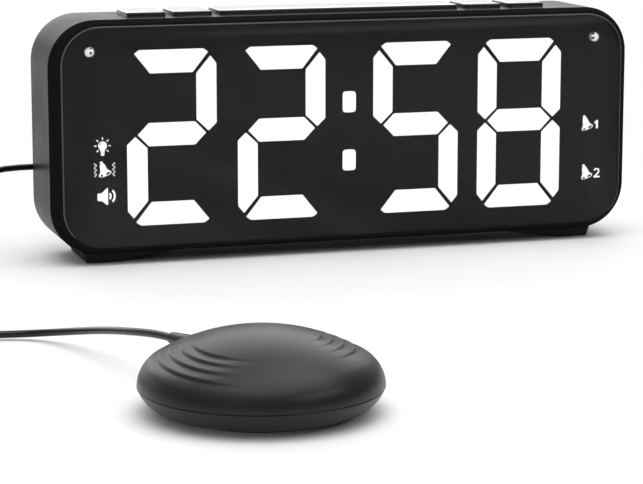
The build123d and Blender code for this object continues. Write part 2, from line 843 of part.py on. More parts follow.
with BuildPart() as shaker_top_shell:
    with BuildSketch(shaker_plane):
        with BuildLine():
            CenterArc((shoulder_x, seam_z), shoulder_r, 0, 90 - crown_turn)
            CenterArc((0, crown_z), crown_r, 90 - crown_turn, crown_turn)
            Polyline((0, shaker_h), (0, seam_z), (shaker_r, seam_z))
        make_face()
    revolve(axis=shaker_axis)
    with BuildSketch(shaker_plane):
        with BuildLine():
            CenterArc((shoulder_x, seam_z), shoulder_r - shell_wall, 0, 90 - crown_turn)
            CenterArc((0, crown_z), crown_r - shell_wall, 90 - crown_turn, crown_turn)
            Polyline((0, shaker_h - shell_wall), (0, seam_z), (shaker_r - shell_wall, seam_z))
        make_face()
    revolve(axis=shaker_axis, mode=Mode.SUBTRACT)
    with BuildSketch(Plane.XY.offset(floor_z)):
        with Locations(*shell_posts):
            Circle(shell_post_r)
    extrude(until=Until.NEXT)
    with BuildSketch(Plane.XY.offset(floor_z)):
        with Locations(*shell_posts):
            Circle(shell_screw_r + screw_gap)
    extrude(amount=shell_screw_length, mode=Mode.SUBTRACT)
    with BuildSketch(gland_plane.offset(gland_start)):
        Circle(gland_r + gland_gap)
    extrude(amount=gland_mouth + shell_wall - gland_start, mode=Mode.SUBTRACT)
    lean = radians(ripple_tilt)
    for side in (0, pi):
        down_x = sin(lean) * cos(radians(ripple_turn) + side)
        down_y = sin(lean) * sin(radians(ripple_turn) + side)
        for ripple in range(ripple_count):
            ripple_r = ripple_first_r + ripple * ripple_step
            rise = dome_height(ripple_r) + ripple_tool_r - ripple_depth + ripple_r * sin(lean)
            with Locations(Plane(origin=(shaker_x, shaker_y, rise), z_dir=(down_x, down_y, cos(lean)))):
                Torus(ripple_r, ripple_tool_r, mode=Mode.SUBTRACT)
shaker_top_shell.part.label = "shaker_top_shell"
export_step(shaker_top_shell.part, "parts/shaker_top_shell.step")

# Lower shell: a shallow bowl with a tongue inside the seam and ribs under the motor
motor_left = shaker_x - motor_span / 2
motor_right = motor_left + motor_length
tongue_r = shoulder_x + sqrt((shoulder_r - shell_wall) ** 2 - tongue_h**2) - tongue_gap
clamp_x = motor_left + motor_length / 2
with BuildPart() as shaker_bottom_shell:
    with BuildSketch(shaker_plane):
        with BuildLine():
            SagittaArc((shaker_r, seam_z), (base_r, pad_t), bowl_sagitta)
            Polyline((base_r, pad_t), (0, pad_t), (0, floor_z), (base_r - shell_wall / 2, floor_z))
            SagittaArc((base_r - shell_wall / 2, floor_z), (tongue_r - tongue_t, seam_z), -bowl_sagitta)
            Polyline(
                (tongue_r - tongue_t, seam_z),
                (tongue_r - tongue_t, seam_z + tongue_h),
                (tongue_r, seam_z + tongue_h),
                (tongue_r, seam_z),
                (shaker_r, seam_z),
            )
        make_face()
    revolve(axis=shaker_axis)
    seam_edge = shaker_bottom_shell.edges().filter_by(GeomType.CIRCLE).sort_by(SortBy.RADIUS)[-1]
    chamfer(seam_edge, length=seam_bevel)
    with BuildSketch(Plane.XY.offset(floor_z)):
        with Locations((motor_left + cradle_w, shaker_y), (motor_right - cradle_w, shaker_y)):
            Rectangle(cradle_w, motor_w)
        with Locations((clamp_x, shaker_y - motor_w / 2 - clamp_t - clamp_foot / 2)):
            Rectangle(clamp_w, clamp_foot)
        with Locations((clamp_x, shaker_y + motor_w / 2 + clamp_t + clamp_foot / 2)):
            Rectangle(clamp_w, clamp_foot)
    extrude(amount=motor_z - motor_h / 2 - floor_z)
    with BuildSketch(Plane.XY.offset(pad_t)):
        with Locations(*shell_posts):
            Circle(shell_screw_r + screw_gap)
    extrude(amount=shell_wall, mode=Mode.SUBTRACT)
    with BuildSketch(Plane.XY.offset(pad_t)):
        with Locations(*shell_posts):
            Circle(shell_screw_head_r + screw_gap)
    extrude(amount=shell_screw_head_h, mode=Mode.SUBTRACT)
    with BuildSketch(gland_plane.offset(gland_start)):
        Circle(gland_r + tongue_gap)
    extrude(amount=shaker_r - gland_start, mode=Mode.SUBTRACT)
shaker_bottom_shell.part.label = "shaker_bottom_shell"
export_step(shaker_bottom_shell.part, "parts/shaker_bottom_shell.step")

with BuildPart() as shaker_screws:
    with BuildSketch(Plane.XY.offset(pad_t)):
        with Locations(*shell_posts):
            Circle(shell_screw_head_r)
    extrude(amount=shell_screw_head_h)
    with BuildSketch(Plane.XY.offset(pad_t + shell_screw_head_h)):
        with Locations(*shell_posts):
            Circle(shell_screw_r)
    extrude(amount=shell_screw_length - shell_screw_head_h)
shaker_screws.part.label = "shaker_screws"
export_step(shaker_screws.part, "parts/shaker_screws.step")

with BuildPart() as shaker_pad:
    with BuildSketch(Plane.XY):
        with Locations((shaker_x, shaker_y)):
            Circle(base_r - pad_in)
    extrude(amount=pad_t)
shaker_pad.part.label = "shaker_pad"
export_step(shaker_pad.part, "parts/shaker_pad.step")

# Motor: flat-sided can on the ribs, its strap, and the weight that turns off centre
motor_plane = Plane(origin=(motor_left, shaker_y, motor_z), x_dir=(0, 1, 0), z_dir=(1, 0, 0))
with BuildPart() as motor_can:
    with BuildSketch(motor_plane):
        RectangleRounded(motor_w, motor_h, motor_round)
    extrude(amount=motor_length)
    with BuildSketch(motor_plane.offset(motor_length)):
        Circle(shaft_r + shaft_gap)
    extrude(amount=-(shaft_in + shaft_end_gap), mode=Mode.SUBTRACT)
motor_can.part.label = "motor_can"
export_step(motor_can.part, "parts/motor_can.step")

clamp_top = motor_h / 2 + clamp_gap + clamp_t
clamp_low = -motor_h / 2
with BuildPart() as motor_clamp:
    with BuildSketch(motor_plane.offset(motor_length / 2 - clamp_w / 2)):
        with BuildLine():
            half = motor_w / 2 + clamp_gap
            Polyline(
                (-half - clamp_t - clamp_foot, clamp_low),
                (-half, clamp_low),
                (-half, clamp_top - clamp_t),
                (half, clamp_top - clamp_t),
                (half, clamp_low),
                (half + clamp_t + clamp_foot, clamp_low),
                (half + clamp_t + clamp_foot, clamp_low + clamp_t),
                (half + clamp_t, clamp_low + clamp_t),
                (half + clamp_t, clamp_top),
                (-half - clamp_t, clamp_top),
                (-half - clamp_t, clamp_low + clamp_t),
                (-half - clamp_t - clamp_foot, clamp_low + clamp_t),
                close=True,
            )
        make_face()
    extrude(amount=clamp_w)
motor_clamp.part.label = "motor_clamp"
export_step(motor_clamp.part, "parts/motor_clamp.step")

with BuildPart() as motor_shaft:
    with BuildSketch(motor_plane.offset(motor_length - shaft_in)):
        Circle(shaft_r)
    extrude(amount=shaft_in + shaft_length)
motor_shaft.part.label = "motor_shaft"
export_step(motor_shaft.part, "parts/motor_shaft.step")

with BuildPart() as eccentric_weight:
    with BuildSketch(motor_plane.offset(motor_length + weight_start)):
        Circle(weight_r)
        with Locations((0, weight_r / 2)):
            Rectangle(2 * weight_r, weight_r, mode=Mode.SUBTRACT)
        Circle(weight_hub_r)
        Circle(shaft_r, mode=Mode.SUBTRACT)
    extrude(amount=weight_length)
eccentric_weight.part.label = "eccentric_weight"
export_step(eccentric_weight.part, "parts/eccentric_weight.step")

# Strain relief of the shaker: a stub through the wall and a tapered sleeve outside
with BuildPart() as shaker_gland:
    with BuildSketch(gland_plane.offset(gland_mouth)):
        Circle(gland_r)
    with BuildSketch(gland_plane.offset(gland_mouth + gland_length)):
        Circle(gland_tip_r)
    loft()
    with BuildSketch(gland_plane.offset(gland_start)):
        Circle(gland_r)
    extrude(amount=gland_mouth - gland_start)
shaker_gland.part.label = "shaker_gland"
export_step(shaker_gland.part, "parts/shaker_gland.step")

# Plug: barrel in the jack, round body behind the cover and an arm that takes the lead sideways
plug_y = y_back + plug_body_length - plug_arm_r - cord_d / 2
plug_end = Vector(jack_x - plug_arm_length, plug_y, jack_z)
with BuildPart() as plug_pin:
    with BuildSketch(upright(y_back)):
        with Locations(jack_place):
            Circle(plug_barrel_r)
    extrude(amount=plug_barrel_length)
plug_pin.part.label = "plug_pin"
export_step(plug_pin.part, "parts/plug_pin.step")

with BuildPart() as plug_body:
    with BuildSketch(upright(y_back + plug_body_length)):
        with Locations(jack_place):
            Circle(plug_body_r)
    extrude(amount=plug_body_length)
    fillet(plug_body.faces().sort_by(Axis.Y)[-1].edges(), radius=plug_edge_r)
    with BuildSketch(Plane(origin=(jack_x, plug_y, jack_z), z_dir=(-1, 0, 0))):
        Circle(plug_arm_r)
    with BuildSketch(Plane(origin=plug_end, z_dir=(-1, 0, 0))):
        Circle(plug_arm_tip_r)
    loft()
plug_body.part.label = "plug_body"
export_step(plug_body.part, "parts/plug_body.step")

# Coil: the lead spirals in and out again in layers and climbs a layer at each turning point
coil_x = clock_x + coil_dx
coil_y = clock_y + coil_dy
coil_step = cord_d + coil_gap
layer_turns = (coil_turns - (coil_layers - 1) * coil_climb) / coil_layers
coil_outer_r = coil_middle_r + layer_turns * coil_step / 2
coil_inner_r = coil_middle_r - layer_turns * coil_step / 2
coil_start_turn = -pi / 2


def coil_point(layer, along):
    """Point and direction on the coil, so many clockwise turns along one of its layers."""
    inward = -1 if layer % 2 == 0 else 1
    start_r = coil_outer_r if inward < 0 else coil_inner_r
    radius = start_r + inward * coil_step * along
    turn = coil_start_turn - 2 * pi * (layer * (layer_turns + coil_climb) + along)
    height = coil_lift + cord_d / 2 + layer * coil_step
    slope = inward * coil_step / (2 * pi)
    place = Vector(coil_x + radius * cos(turn), coil_y + radius * sin(turn), height)
    way = Vector(radius * sin(turn) + slope * cos(turn), -radius * cos(turn) + slope * sin(turn), 0)
    return place, way.normalized()


def biarc_middle(start, start_way, end, end_way):
    """Point where two arcs of equal reach meet between two ends, and the direction there."""
    across = end - start
    both = start_way + end_way
    turn = 2 * (start_way.dot(end_way) - 1)
    lean = across.dot(both)
    reach = (lean - sqrt(lean**2 - turn * across.dot(across))) / turn
    first = start + start_way * reach
    second = end - end_way * reach
    return (first + second) / 2, (second - first).normalized()


half_turns = round(2 * layer_turns)
coil_ends = [
    coil_point(layer, layer_turns * half / half_turns)
    for layer in range(coil_layers)
    for half in range(half_turns + 1)
]
coil_in = coil_ends[0][0] - coil_ends[0][1] * cord_d
coil_out = coil_ends[-1][0] + coil_ends[-1][1] * cord_d
with BuildPart() as cord_coil:
    with BuildLine() as coil_line:
        Line(coil_in, coil_ends[0][0])
        for (start, start_way), (end, end_way) in zip(coil_ends, coil_ends[1:]):
            middle, middle_way = biarc_middle(start, start_way, end, end_way)
            TangentArc(start, middle, tangent=start_way)
            TangentArc(middle, end, tangent=middle_way)
        Line(coil_ends[-1][0], coil_out)
    with BuildSketch(Plane(origin=coil_in, z_dir=coil_ends[0][1])):
        RegularPolygon(cord_d / 2, coil_sides)
    sweep()
cord_coil.part.label = "cord_coil"
export_step(cord_coil.part, "parts/cord_coil.step")

# Least gap of the coil to itself, measured on points along its line
coil_length = coil_line.wires()[0].length
sample_count = ceil(coil_length / (cord_d / 2))
samples = [coil_line.wires()[0] @ (count / sample_count) for count in range(sample_count + 1)]
apart = ceil(4 * cord_d / (coil_length / sample_count))
least = min(
    (samples[i] - samples[j]).length
    for i in range(len(samples))
    for j in range(i + apart, len(samples))
)
print(f"coil length {coil_length:.1f} mm, least gap to itself {least - cord_d:.2f} mm")

# Tie round the coil's turns, on the side away from the clock's lead
tied = [point for point in samples if abs(point.Y - coil_y) < tie_w and point.X > coil_x]
tie_in = min(point.X for point in tied) - cord_d / 2 - tie_gap
tie_out = max(point.X for point in tied) + cord_d / 2 + tie_gap
tie_low = min(point.Z for point in tied) - cord_d / 2 - tie_gap
tie_high = max(point.Z for point in tied) + cord_d / 2 + tie_gap
with BuildPart() as coil_tie:
    with BuildSketch(upright(coil_y + tie_w / 2)):
        with Locations(((tie_in + tie_out) / 2, (tie_high + tie_low) / 2)):
            Rectangle(tie_out - tie_in + 2 * tie_t, tie_high - tie_low + 2 * tie_t)
            Rectangle(tie_out - tie_in, tie_high - tie_low, mode=Mode.SUBTRACT)
    extrude(amount=tie_w)
coil_tie.part.label = "coil_tie"
export_step(coil_tie.part, "parts/coil_tie.step")

# Free stretches of the lead: places relative to the clock's middle on the table
gland_end = Vector(shaker_x, shaker_y, gland_z) + gland_way * (gland_mouth + gland_length)
lead_to_coil = [
    gland_end,
    gland_end + gland_way * gland_run,
    Vector(clock_x - 102.6, clock_y - 155.8, 10.0),
    Vector(clock_x - 105.9, clock_y - 141.4, 7.5),
    Vector(clock_x - 109.7, clock_y - 128.3, 4.8),
    Vector(clock_x - 115.1, clock_y - 117.9, 2.6),
    Vector(clock_x - 122.6, clock_y - 112.4, 1.5),
    Vector(clock_x - 131.7, clock_y - 111.2, 1.6),
    coil_in - coil_ends[0][1] * coil_run_in,
    coil_in,
]
lead_to_plug = [
    coil_out,
    coil_out + coil_ends[-1][1] * coil_run_out,
    Vector(clock_x - 165.5, clock_y - 52.0, 6.4),
    Vector(clock_x - 158.0, clock_y - 29.0, 7.6),
    Vector(clock_x - 145.0, clock_y - 8.0, 12.4),
    Vector(clock_x - 127.0, clock_y + 8.0, 19.4),
    Vector(clock_x - 109.0, clock_y + 16.5, 25.2),
    plug_end - Vector(plug_run, 0, 0),
    plug_end,
]


def bend_radii(points):
    """Radius of the arc at each inner point of a route, as large as its two runs allow."""
    radii = []
    for before, here, after in zip(points, points[1:], points[2:]):
        run_in = here - before
        run_out = after - here
        turn = radians(run_in.get_angle(run_out))
        radii.append(bend_share * min(run_in.length, run_out.length) / tan(turn / 2))
    return radii


def tube_check(name, line, solid):
    """Print a tube's length, and its volume against its section times that length."""
    share = solid.volume / (pi * cord_d**2 / 4 * line.length)
    print(f"{name}: length {line.length:.1f} mm, volume over section times length {share:.4f}")


with BuildPart() as cord_to_shaker:
    with BuildLine() as shaker_line:
        FilletPolyline(*lead_to_coil, radius=bend_radii(lead_to_coil))
    with BuildSketch(Plane(origin=lead_to_coil[0], z_dir=lead_to_coil[1] - lead_to_coil[0])):
        Circle(cord_d / 2)
    sweep()
cord_to_shaker.part.label = "cord_to_shaker"
export_step(cord_to_shaker.part, "parts/cord_to_shaker.step")

with BuildPart() as cord_to_clock:
    with BuildLine() as clock_line:
        FilletPolyline(*lead_to_plug, radius=bend_radii(lead_to_plug))
    with BuildSketch(Plane(origin=lead_to_plug[0], z_dir=lead_to_plug[1] - lead_to_plug[0])):
        Circle(cord_d / 2)
    sweep()
cord_to_clock.part.label = "cord_to_clock"
export_step(cord_to_clock.part, "parts/cord_to_clock.step")

print("bend radii to the shaker", [round(radius, 1) for radius in bend_radii(lead_to_coil)])
print("bend radii to the clock", [round(radius, 1) for radius in bend_radii(lead_to_plug)])
tube_check("cord_to_shaker", shaker_line.wires()[0], cord_to_shaker.part)
tube_check("cord_to_clock", clock_line.wires()[0], cord_to_clock.part)
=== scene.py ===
"""Looks of a bed shaker alarm clock: rounded mouldings, finishes, lead, pictograms and studio."""

import json
import math

import bpy
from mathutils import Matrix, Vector

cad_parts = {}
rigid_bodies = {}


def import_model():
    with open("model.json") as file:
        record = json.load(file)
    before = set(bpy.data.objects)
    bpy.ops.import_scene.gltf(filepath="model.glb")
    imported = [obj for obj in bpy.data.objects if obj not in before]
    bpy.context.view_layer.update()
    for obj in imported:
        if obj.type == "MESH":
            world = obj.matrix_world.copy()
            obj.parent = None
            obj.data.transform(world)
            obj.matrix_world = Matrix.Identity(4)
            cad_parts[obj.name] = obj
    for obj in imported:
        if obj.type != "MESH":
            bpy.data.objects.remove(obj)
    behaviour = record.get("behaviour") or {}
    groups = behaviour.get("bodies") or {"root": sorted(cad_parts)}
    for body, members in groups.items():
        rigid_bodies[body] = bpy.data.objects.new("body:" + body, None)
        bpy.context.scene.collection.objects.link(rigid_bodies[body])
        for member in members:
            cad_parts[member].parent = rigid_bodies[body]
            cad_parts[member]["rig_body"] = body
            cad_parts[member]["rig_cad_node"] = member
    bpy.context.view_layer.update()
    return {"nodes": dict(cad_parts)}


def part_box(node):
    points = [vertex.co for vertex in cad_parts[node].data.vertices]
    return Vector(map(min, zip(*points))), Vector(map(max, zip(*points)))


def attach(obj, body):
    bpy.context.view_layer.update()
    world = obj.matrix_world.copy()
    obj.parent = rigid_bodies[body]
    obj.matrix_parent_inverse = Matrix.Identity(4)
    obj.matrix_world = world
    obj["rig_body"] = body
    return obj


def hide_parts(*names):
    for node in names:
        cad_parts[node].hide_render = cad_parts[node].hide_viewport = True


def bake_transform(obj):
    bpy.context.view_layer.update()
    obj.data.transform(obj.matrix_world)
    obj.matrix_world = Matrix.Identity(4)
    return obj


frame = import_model()

MM = 0.001
full_turn = 2 * math.pi
quarter_turn = math.pi / 2

# Middles of the clock and of the shaker on the table, from which the other places are measured
case_low, case_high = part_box("main_case")
case_d = 27.5 * MM
clock = Vector(((case_low.x + case_high.x) / 2, case_high.y - case_d / 2, 0.0))
pad_low, pad_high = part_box("shaker_pad")
shaker = Vector(((pad_low.x + pad_high.x) / 2, (pad_low.y + pad_high.y) / 2, 0.0))


def by_clock(x, y, z):
    """Place in the scene of millimetres from the clock's middle on the table."""
    return clock + Vector((x, y, z)) * MM


# Camera
camera_sensor = 36.0
camera_lens = 134.37
camera_place = by_clock(-231.234, -727.911, 138.262)
camera_tilt = math.radians(79.754)
camera_turn = math.radians(-17.336)

# Mesh making: turns between faces, and the least part of a normal that counts as facing a way
merge_gap = 1e-6
smooth_turn = math.radians(30)
gentle_turn = math.radians(50)
facet_turn = math.radians(11)
sleeve_turn = math.radians(25)
flat_turn = math.radians(0.4)
facing_least = 0.5

# Lead: from the shaker's gland to the coil, then from the coil to the plug
lead_d = 2.0 * MM
gland_turn = math.radians(112.0)
gland_way = Vector((math.cos(gland_turn), math.sin(gland_turn), 0.0))
gland_rise = Vector((0.0, 0.0, 11.4 * MM))
gland_reach = 35.295 * MM
gland_run = 6.0 * MM
gland_end = shaker + gland_rise + gland_way * gland_reach
lead_bend_start = by_clock(-115.1, -117.9, 2.6)
lead_to_coil = (
    gland_end,
    gland_end + gland_way * gland_run,
    by_clock(-102.6, -155.8, 10.0),
    by_clock(-105.9, -141.4, 7.5),
    by_clock(-109.7, -128.3, 4.8),
    lead_bend_start,
    by_clock(-122.6, -112.4, 1.5),
    by_clock(-131.7, -111.2, 1.6),
    by_clock(-141.303, -109.916, 2.2),
)
lead_to_plug = (
    by_clock(-168.841, -77.505, 9.85),
    by_clock(-165.5, -52.0, 6.4),
    by_clock(-158.0, -29.0, 7.6),
    by_clock(-145.0, -8.0, 12.4),
    by_clock(-127.0, 8.0, 19.4),
    by_clock(-109.0, 16.5, 25.2),
    by_clock(-103.0, 19.05, 26.3),
    by_clock(-92.0, 19.05, 26.3),
)
lead_sides = 6
lead_smoothness = 3

# Ribbed sleeve of the plug
plug_rib_count = 5
plug_rib_step = 2.4 * MM
plug_rib_w = 1.3 * MM
plug_rib_edge = plug_rib_w / 5
plug_rib_first_r = 1.95 * MM
plug_rib_growth = 0.17 * MM
plug_rib_steps = 32

# Coil of the put-away length, and its tie
coil_middle = by_clock(-152.3, -93.5, 0.0)
coil_step = 2.55 * MM
coil_layers = 4
coil_layer_steps = 67
coil_climb_steps = 8
coil_turn_steps = 16
coil_outer_r = 16.139 * MM
coil_low = 2.2 * MM
tie_t = 0.8 * MM
tie_edge = 0.15 * MM
tie_corner_share = 0.3
tie_corner_segments = 8

# Shaker
dome_h = 20.0 * MM
seam_z = 6.4 * MM
seam_r = 29.0 * MM
shoulder_r = 8.0 * MM
shoulder_x = seam_r - shoulder_r
crown_rise = dome_h - seam_z
crown_r = (crown_rise**2 + shoulder_x**2 - shoulder_r**2) / (2 * (crown_rise - shoulder_r))
crown_z = dome_h - crown_r
shell_wall = 1.8 * MM
base_r = 20.9 * MM
base_z = 0.8 * MM
bowl_bulge = 1.5 * MM
seam_bevel = 0.35 * MM
tongue_r = 26.9 * MM
tongue_t = 0.8 * MM
tongue_h = 1.4 * MM
spin_steps = 288
crown_steps = 110
shoulder_steps = 44
inner_steps = 8
bowl_steps = 24

# Ripples in the dome: rings off its middle, steep on their inner side and fading at both ends.
# Each group has the turns of its middle and of its lean, and the radius of its first ring.
ripple_step = 2.6 * MM
ripple_depth = 0.56 * MM
ripple_edge = 0.55 * MM
ripple_off = 1.9 * MM
ripple_groups = (
    (math.radians(194.0), math.radians(290.0), 17.0 * MM),
    (math.radians(6.0), math.radians(103.0), 14.8 * MM),
)
ripple_count = 4
ripple_half_turn = math.radians(62)
ripple_fade = math.radians(46)

# Lens, the normals of its bevel faces that take a painted highlight, and the print round its back
lens_air = 0.12 * MM
lens_corner_r = 12.1 * MM
highlight_bevel_y = (-0.9, -0.4)
highlight_bevel_z = -0.5
border_in = 0.4 * MM
border_w = 4.5 * MM
border_corner_segments = 14

# Keys, feet and hatch
keys = ("key_left_outer", "key_left_inner", "snooze_bar", "key_right_inner", "key_right_outer")
key_top_normal = 0.8
foot_edge = 0.8 * MM
hatch_edge = 0.12 * MM

# Screws at the back, with the cross recess in their heads
screw_x = 86.5 * MM
screw_z = (12.2 * MM, 66.2 * MM)
recess_w = 2.7 * MM
recess_h = 0.55 * MM
recess_depth = 1.4 * MM

# Cup in each lamp: reach and height of its outline, and the marks on its wall
lamp_cup_back = 2.9 * MM
cup_outline = (
    (0.0, 0.0),
    (0.4 * MM, 0.0),
    (0.6 * MM, 0.27 * MM),
    (1.0 * MM, 0.8 * MM),
    (1.1 * MM, 0.8 * MM),
    (0.5 * MM, -0.1 * MM),
    (0.0, -0.1 * MM),
)
cup_steps = 24
cup_mark_x = 0.43 * MM
cup_mark_z = 0.25 * MM
cup_mark_r = 0.1 * MM

# Lit signs: thin prints between the mask and the lens
sign_t = 0.04 * MM
sign_lift = 0.02 * MM
shade_lift = 0.07 * MM

# Bulb sign: its middle in millimetres from the clock's, and the rest from its own middle
bulb_middle = (-79.02, 37.06)
bulb_r = 1.36
bulb_turns = (math.radians(-50), math.radians(230))
bulb_steps = 22
bulb_foot = ((-0.58, -1.75), (-0.56, -2.7), (-0.34, -3.05))
bulb_ray = ((-0.14, 1.8), (0.14, 1.8), (0.18, 2.6), (-0.18, 2.6))
bulb_ray_eighths = (1, 2, 3, 5, 6, 7)
bulb_thread = ((-0.4, -2.15), (0.4, -2.15), (0.4, -2.32), (-0.4, -2.32))
shine_radii = (1.1, 0.85)
shine_turns = (math.radians(115), math.radians(165))
shine_steps = 5

# Bell signs: half an outline and two shades of the mouth, as shares of the bell's size
bell_size = 4.15
bell_tilt = math.radians(18.0)
bell_top = (0.0, 1.02)
bell_side = (
    (0.09, 0.985), (0.125, 0.91), (0.08, 0.82), (0.13, 0.79), (0.19, 0.72), (0.225, 0.62), (0.24, 0.48),
    (0.27, 0.34), (0.33, 0.22), (0.43, 0.13), (0.50, 0.06), (0.48, -0.01), (0.42, -0.08), (0.27, -0.13),
)
bell_bottom = (0.0, -0.145)
bell_mouth_right = (
    (0.02, -0.01), (0.2, 0.08), (0.39, 0.07), (0.43, 0.01), (0.31, -0.065), (0.12, -0.095),
)
bell_mouth_left = ((-0.42, 0.0), (-0.29, 0.07), (-0.17, 0.045), (-0.19, -0.08), (-0.33, -0.08))
bell_places = ((-78.32, 28.25), (81.12, 36.35), (81.2, 20.35))

# Other signs, in millimetres from the clock's middle on the table
speaker_outline = (
    (-80.85, 22.2), (-80.7, 22.4), (-79.5, 22.45), (-77.95, 23.95), (-77.65, 24.0), (-77.55, 23.8),
    (-77.55, 18.95), (-77.65, 18.75), (-77.95, 18.8), (-79.5, 20.05), (-80.7, 20.1), (-80.85, 20.3),
)
wave_middle = (-77.95, 21.45)
wave_radii = (1.25, 2.5)
wave_t = 0.6
wave_turn = math.radians(44)
wave_steps = 10
shake_line = (
    (-81.8, 31.7), (-80.95, 31.02), (-81.8, 30.34), (-80.95, 29.66), (-81.8, 28.98), (-81.0, 28.3),
    (-81.7, 27.65),
)
shake_t = 0.3
shake_middle = -78.5
one_outline = (
    (83.5, 38.0), (84.35, 38.75), (84.8, 38.75), (84.8, 36.0), (84.15, 36.0), (84.15, 37.85), (83.75, 37.5),
)
two_hook = (
    (83.85, 22.2), (84.0, 22.5), (84.35, 22.72), (84.85, 22.75), (85.3, 22.5), (85.45, 22.05), (85.3, 21.6),
    (84.9, 21.1), (84.4, 20.6), (83.95, 20.15),
)
two_t = 0.5
two_foot = ((83.65, 19.9), (85.8, 19.9), (85.8, 20.4), (83.65, 20.4))

# Floor: it turns plain white over this span of distances from the middle
floor_size = 12.0
floor_grey = 0.85
white_span = (0.12, 0.29)

# Air of the studio: brightest along this way, and dim towards both ends
air_way = (-0.35, 0.75, 0.55)
air_span = (-0.7, 0.5)
air_light = (0.1, 1.0)
ends_span = (0.35, 0.95)
ends_light = (1.0, 0.3)

# Softboxes: name, place, aim, width and height, watts
softboxes = (
    ("softbox_above", (0.1, -0.25, 1.3), (0.0, 0.0, 0.0), (1.8, 1.4), 13.0),
    ("softbox_behind", (0.2, 1.2, 0.7), (0.0, 0.0, 0.03), (1.6, 1.0), 6.0),
    ("softbox_right", (0.43, -0.58, 0.46), (-0.07, -0.1, 0.01), (0.68, 0.15), 0.9),
)


# Modelling by hand


def pick(*pieces):
    """Select these pieces alone, with the last one active."""
    bpy.ops.object.select_all(action="DESELECT")
    for piece in pieces:
        piece.select_set(True)
    bpy.context.view_layer.objects.active = pieces[-1]


def edit(piece, choose="VERT"):
    """Open a piece in edit mode, with corners, edges or faces to choose."""
    pick(piece)
    bpy.ops.object.mode_set(mode="EDIT")
    bpy.ops.mesh.select_mode(type=choose)


def edit_all(piece):
    """Open a piece in edit mode with all of its mesh selected."""
    edit(piece)
    bpy.ops.mesh.select_all(action="SELECT")


def close_edit():
    """Go back to object mode."""
    bpy.ops.object.mode_set(mode="OBJECT")


def close_outwards():
    """Turn all faces of the open piece outwards and go back to object mode."""
    bpy.ops.mesh.select_all(action="SELECT")
    bpy.ops.mesh.normals_make_consistent(inside=False)
    close_edit()


def choose_faces(piece, wanted):
    """Open a piece in edit mode with the faces that are wanted selected."""
    edit(piece, "FACE")
    bpy.ops.mesh.select_all(action="DESELECT")
    close_edit()
    for face in piece.data.polygons:
        face.select = wanted(face)
    edit(piece, "FACE")


def choose_edges(piece, wanted):
    """Open a piece in edit mode with the edges that are wanted selected, by their two ends."""
    edit(piece, "EDGE")
    bpy.ops.mesh.select_all(action="DESELECT")
    close_edit()
    for edge in piece.data.edges:
        edge.select = wanted(*(piece.data.vertices[v].co for v in edge.vertices))
    edit(piece, "EDGE")


def named(piece, name):
    """Give a piece and its mesh one name."""
    piece.name = name
    piece.data.name = name
    return piece


def new_piece(name):
    """Name the primitive that was just added and leave its place in its mesh."""
    piece = named(bpy.context.object, name)
    bpy.ops.object.transform_apply(location=True, rotation=True, scale=True)
    return piece


def apply_modifier(piece, kind, **settings):
    """Add a modifier with these settings and apply it."""
    pick(piece)
    bpy.ops.object.modifier_add(type=kind)
    modifier = piece.modifiers[-1]
    for setting, value in settings.items():
        setattr(modifier, setting, value)
    bpy.ops.object.modifier_apply(modifier=modifier.name)


def smooth(piece, turn=smooth_turn):
    """Shade a piece smooth, apart from edges that turn more than this."""
    pick(piece)
    bpy.ops.object.shade_smooth_by_angle(angle=turn)


def keep_flat(piece):
    """Join the triangles of flat faces, and keep these faces flat beside the round corners."""
    edit_all(piece)
    bpy.ops.mesh.dissolve_limited(angle_limit=flat_turn)
    close_edit()
    smooth(piece, sleeve_turn)
    apply_modifier(piece, "WEIGHTED_NORMAL", keep_sharp=True)


def round_edges(piece, width, segments=2, turn=facet_turn):
    """Round the edges that turn more than the facets of a curve do, and keep flat faces flat."""
    apply_modifier(
        piece, "BEVEL", width=width, segments=segments, limit_method="ANGLE", angle_limit=turn
    )
    pick(piece)
    bpy.ops.object.shade_smooth()
    apply_modifier(piece, "WEIGHTED_NORMAL", keep_sharp=True)


def moulded_copy(node, name):
    """A merged copy of a CAD node, which then stands for the node."""
    pick(frame["nodes"][node])
    bpy.ops.object.duplicate()
    piece = named(bpy.context.object, name)
    piece.parent = None
    body = piece["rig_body"]
    del piece["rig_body"], piece["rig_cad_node"]
    edit_all(piece)
    bpy.ops.mesh.remove_doubles(threshold=merge_gap)
    close_edit()
    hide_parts(node)
    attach(piece, body)
    return piece


def arc(centre, radius, start, end, count):
    """Points of an arc in an outline's plane, both ends included."""
    turns = [start + (end - start) * i / count for i in range(count + 1)]
    return [(centre[0] + radius * math.cos(t), centre[1] + radius * math.sin(t)) for t in turns]


def drawn(name, places):
    """A line drawn by extrusion from a plane shrunk to one corner, left open with all of it selected."""
    bpy.ops.object.select_all(action="DESELECT")
    bpy.ops.mesh.primitive_plane_add(size=MM, location=places[0])
    piece = new_piece(name)
    edit_all(piece)
    bpy.ops.mesh.merge(type="CENTER")
    for here, there in zip(places, places[1:]):
        bpy.ops.mesh.extrude_region_move(TRANSFORM_OT_translate={"value": there - here})
    bpy.ops.mesh.select_all(action="SELECT")
    return piece


def turned(name, outline, centre, axis, across, steps):
    """Draw an outline of (reach, along) points and spin it about an axis through the centre."""
    centre, axis, across = Vector(centre), Vector(axis), Vector(across)
    piece = drawn(name, [centre + across * reach + axis * along for reach, along in outline])
    bpy.ops.mesh.spin(steps=steps, angle=full_turn, center=centre, axis=axis)
    bpy.ops.mesh.select_all(action="SELECT")
    bpy.ops.mesh.remove_doubles(threshold=merge_gap)
    close_outwards()
    return piece


# Shader groups


def group_socket(group, name, kind, way="INPUT", value=None):
    """Add a named socket to a shader group."""
    made = group.interface.new_socket(name=name, in_out=way, socket_type=kind)
    if value is not None:
        made.default_value = value


